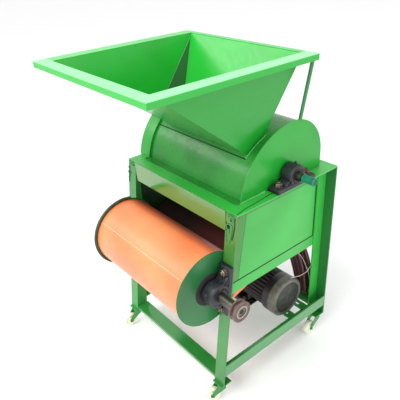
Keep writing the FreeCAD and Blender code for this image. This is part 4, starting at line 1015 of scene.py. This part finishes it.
def onFront(points, lift):
    # Points given as (x, z) on the raked front plane, evenly spaced along the line they make
    points = np.array(points, float)
    reach = np.concatenate([[0], np.cumsum(np.linalg.norm(np.diff(points, axis=0), axis=1))])
    t = np.arange(0, reach[-1], 0.0011)
    x, z = np.interp(t, reach, points[:, 0]), np.interp(t, reach, points[:, 1])
    return np.column_stack([x, frontY(z) - lift, z])


darkDiscs, collars = [], []
for seed, hole in enumerate(legHoles, 1):
    disc, collar = burntHole(*hole, seed)
    darkDiscs.append(disc)
    collars.append(collar)
collars += [weldBead(onFront(path, r * 0.15), r, seed) for path, r, seed in legBeads]
shadowLines = [weldBead(onFront(path, 0.0), r, seed) for path, r, seed in legShadowLines]
addMesh("leg_holes", joinParts(darkDiscs), holeBlack, "stand", smooth=False)
addMesh("leg_beads", joinParts(collars), beadMid, "stand")
addMesh("leg_shadow_lines", joinParts(shadowLines), seamShade, "stand")
print("leg heads built")


# Seam of the blower's orange wrap in a pale colour that is a painted highlight, edges of its end discs, dark
# rings on the discs round the shaft that are painted shadow, end of its shaft

blower = {
    "seamRadius": 0.1080, "seamAngle": 141, "seamInset": 0.004, "seamThick": 0.0009,
    "edgeInset": 0.0014, "edgeThick": 0.0016, "edgeClear": 0.002,
    "rolledX": -0.2070, "rolledReach": 0.1135, "rolledThick": 0.0049, "rolledClear": 0.010,
    "guard": ((0.2072, 0.0150), (0.2072, 0.0500), (0.2094, 0.0480), (0.2094, 0.0150)),
    "hubFace": ((0.3312, 0.0142), (0.3319, 0.0142), (0.3319, 0.0184), (0.3312, 0.0184)),
    "centre": ((0.3296, 0.0), (0.3296, 0.0060), (0.3306, 0.0060), (0.3308, 0.0046), (0.3302, 0.0)),
}
fanLo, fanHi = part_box("fan_wrap")
seam = alongLine((fanLo[0] + blower["seamInset"], 0, 0), (fanHi[0] - blower["seamInset"], 0, 0), 0.004)
seamAngle = math.radians(blower["seamAngle"])
seam[:, 1] = fanY + blower["seamRadius"] * math.cos(seamAngle)
seam[:, 2] = fanZ + blower["seamRadius"] * math.sin(seamAngle)
# Pale seam colour: a painted highlight
addMesh("wrap_seam_glint", sweep(seam, blower["seamThick"], 8), seamGlintPaint, "stand")

rolled = arcPoints(fanY, fanZ, blower["rolledReach"], 60, 300, 140)
rolled = np.column_stack([np.full(len(rolled), blower["rolledX"]), rolled])
rolled = rolled[rolled[:, 1] < frontY(fanZ) - blower["rolledClear"]]
addMesh("disc_rolled_edge", sweep(rolled, blower["rolledThick"], 12), rimOlive, "stand")
discLo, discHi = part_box("fan_end_right")
discRadius = (discHi[2] - discLo[2]) / 2 - blower["edgeInset"]
loop = ringLoop((discLo[0] + discHi[0]) / 2, fanY, fanZ, discRadius, 160)
loop = loop[loop[:, 1] < frontY(fanZ) - blower["edgeClear"]]
addMesh("disc_edges", sweep(loop, blower["edgeThick"], 8), fanGreen, "stand")
hubFace = turnedRing(blower["hubFace"], 0.0001, fanAxis, 64)
addMesh("pulley_hub_face", hubFace, hubSteel, "fan_rotor")
shaftCentre = fixedNormals(lathe(blower["centre"], fanAxis, 48))
addMesh("shaft_centre", shaftCentre, shadowBlack, "fan_rotor")
# Dark rings on the discs round the shaft: painted shadow
guard = lathe(ringProfile(blower["guard"], 0.0004), fanAxis, 72)
guards = fixedNormals(joinParts([guard, mirrored(guard, 0)]))
addMesh("disc_guards", guards, shadowBlack, "stand")
print("seam and disc edges built")


# Cooling cowl: shell with a rolled lip, rings of its grille and a plate behind them

cowlLo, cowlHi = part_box("motor_cowl")
cowl = {
    "x0": cowlLo[0], "x1": cowlHi[0], "r": (cowlHi[2] - cowlLo[2]) / 2, "lip": 0.0080, "roll": 0.0085,
    "grille": 0.056, "rings": (0.0535, 0.0465, 0.0395, 0.0325, 0.0255, 0.0185, 0.0115),
    "ringThick": 0.0009, "ringDepth": 0.0026,
    "boss": ((-0.0040, 0.0), (-0.0040, 0.0080), (-0.0012, 0.0080), (-0.0006, 0.0070), (-0.0006, 0.0)),
    "back": ((-0.0046, 0.0), (-0.0046, 0.0560), (-0.0032, 0.0560), (-0.0032, 0.0)),
}
x0, x1, r = cowl["x0"], cowl["x1"], cowl["r"]
lipStart = x1 - cowl["lip"]
shellLine = [(x0, r - 0.0026), (x0, r), (lipStart, r)]
for a in np.radians((25, 50, 75, 90)):
    shellLine.append((lipStart + 0.0078 * math.sin(a), r - cowl["roll"] * (1 - math.cos(a))))
shellLine += [(x1 - 0.0002, cowl["grille"]), (x1 - 0.0030, cowl["grille"] - 0.0006), (x1 - 0.0030, r - 0.012),
              (x1 - 0.010, r - 0.0030)]
obj = addMesh("cowl_shell", turnedRing(shellLine, 0.0005, motorAxis, 112), cowlGrey, "stand")
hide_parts("motor_cowl")
rings = []
for q in cowl["rings"]:
    loop = ringLoop(x1 - cowl["ringDepth"], motorY, motorZ, q, 96)
    rings.append(sweep(loop, cowl["ringThick"], 8, True))
rings.append(fixedNormals(lathe([(x1 + dx, q) for dx, q in cowl["boss"]], motorAxis, 40)))
addMesh("cowl_grille", joinParts(rings), grilleBlack, "stand")
back = fixedNormals(lathe([(x1 + dx, q) for dx, q in cowl["back"]], motorAxis, 64))
addMesh("cowl_back", back, grilleBlack, "stand")
print("cowl built")


# Pale wire across the stowed belts, and a pale line along the outer belt's edge that is a painted highlight

wires = {
    "tie": ((0.1900, 0.2714), (0.2381, 0.2541), (0.2725, 0.2528), (0.2960, 0.2712)),
    "edge": ((0.2243, 0.3506), (0.2446, 0.3260), (0.2626, 0.2915), (0.2902, 0.2284), (0.2991, 0.1804)),
    "tieX": 0.2055, "edgeX": 0.2034, "tieRadius": 0.0012, "edgeRadius": 0.0009,
}


def eased(x, points):
    # Even curve near loose (y, z) points at x.
    # In each round an inner point becomes a quarter of both neighbours and half of itself.
    knots = np.array([(x, *point) for point in points])
    t = np.linspace(0, 1, 40)
    curve = np.column_stack([np.interp(t, np.linspace(0, 1, len(knots)), knots[:, i]) for i in range(3)])
    for _ in range(6):
        curve[1:-1] = (curve[:-2] + curve[1:-1] * 2 + curve[2:]) / 4
    return curve


wireParts = []
for key in ("tie", "edge"):
    wireParts.append(sweep(eased(wires[key + "X"], wires[key]), wires[key + "Radius"], 8))
addMesh("belt_tie_and_glint", joinParts(wireParts), wireAndGlintPale, "stand")
print("tie built")


# Floor, light and camera

floorMat, floorTree, floorShader, floorWhere = newMaterial("FloorWhite")
floorShader.inputs["Base Color"].default_value = (0.97, 0.97, 0.97, 1)
floorShader.inputs["Roughness"].default_value = 0.9
bpy.ops.mesh.primitive_plane_add(size=30)
floor = bpy.context.object
floor.name = "floor"
floor.data.materials.append(floorMat)

world = bpy.data.worlds.new("studio")
bpy.context.scene.world = world
world.use_nodes = True
world.node_tree.nodes["Background"].inputs["Color"].default_value = (1, 1, 1, 1)
world.node_tree.nodes["Background"].inputs["Strength"].default_value = 1.0


def addLight(name, where, target, size, power):
    # Rectangular soft light at where, facing target
    data = bpy.data.lights.new(name, "AREA")
    data.shape = "RECTANGLE"
    data.size, data.size_y = size
    data.energy = power
    obj = bpy.data.objects.new(name, data)
    bpy.context.scene.collection.objects.link(obj)
    obj.location = where
    obj.rotation_mode = "QUATERNION"
    obj.rotation_quaternion = (Vector(target) - Vector(where)).to_track_quat("-Z", "Y")


addLight("keyLight", (0.1, -1.9, 2.9), (0, 0, 0.5), (2.4, 2.4), 78)
addLight("fillLight", (-2.2, -1.9, 2.2), (0, 0, 0.6), (1.2, 1.0), 17)
addLight("sideLight", (3.0, 0.4, 0.9), (0, 0, 0.45), (1.6, 1.4), 13)

view = {
    "yaw": 51.4, "pitch": 29.1, "roll": -3.1, "lens": 44.02, "sensor": 36, "place": (1.0092, -0.808, 1.2734),
}
yaw, pitch, roll = (math.radians(view[key]) for key in ("yaw", "pitch", "roll"))
ahead = Vector((-math.sin(yaw) * math.cos(pitch), math.cos(yaw) * math.cos(pitch), -math.sin(pitch)))
right = Vector((math.cos(yaw), math.sin(yaw), 0))
up = right.cross(ahead)
side = right * math.cos(roll) + up * math.sin(roll)
above = up * math.cos(roll) - right * math.sin(roll)
cameraData = bpy.data.cameras.new("camera")
cameraData.lens = view["lens"]
cameraData.sensor_width = view["sensor"]
camera = bpy.data.objects.new("camera", cameraData)
bpy.context.scene.collection.objects.link(camera)
camera.matrix_world = Matrix((side, above, -ahead)).transposed().to_4x4()
camera.location = view["place"]
bpy.context.scene.camera = camera
bpy.context.scene.view_settings.view_transform = "Standard"
print("stage set")

bpy.context.view_layer.update()
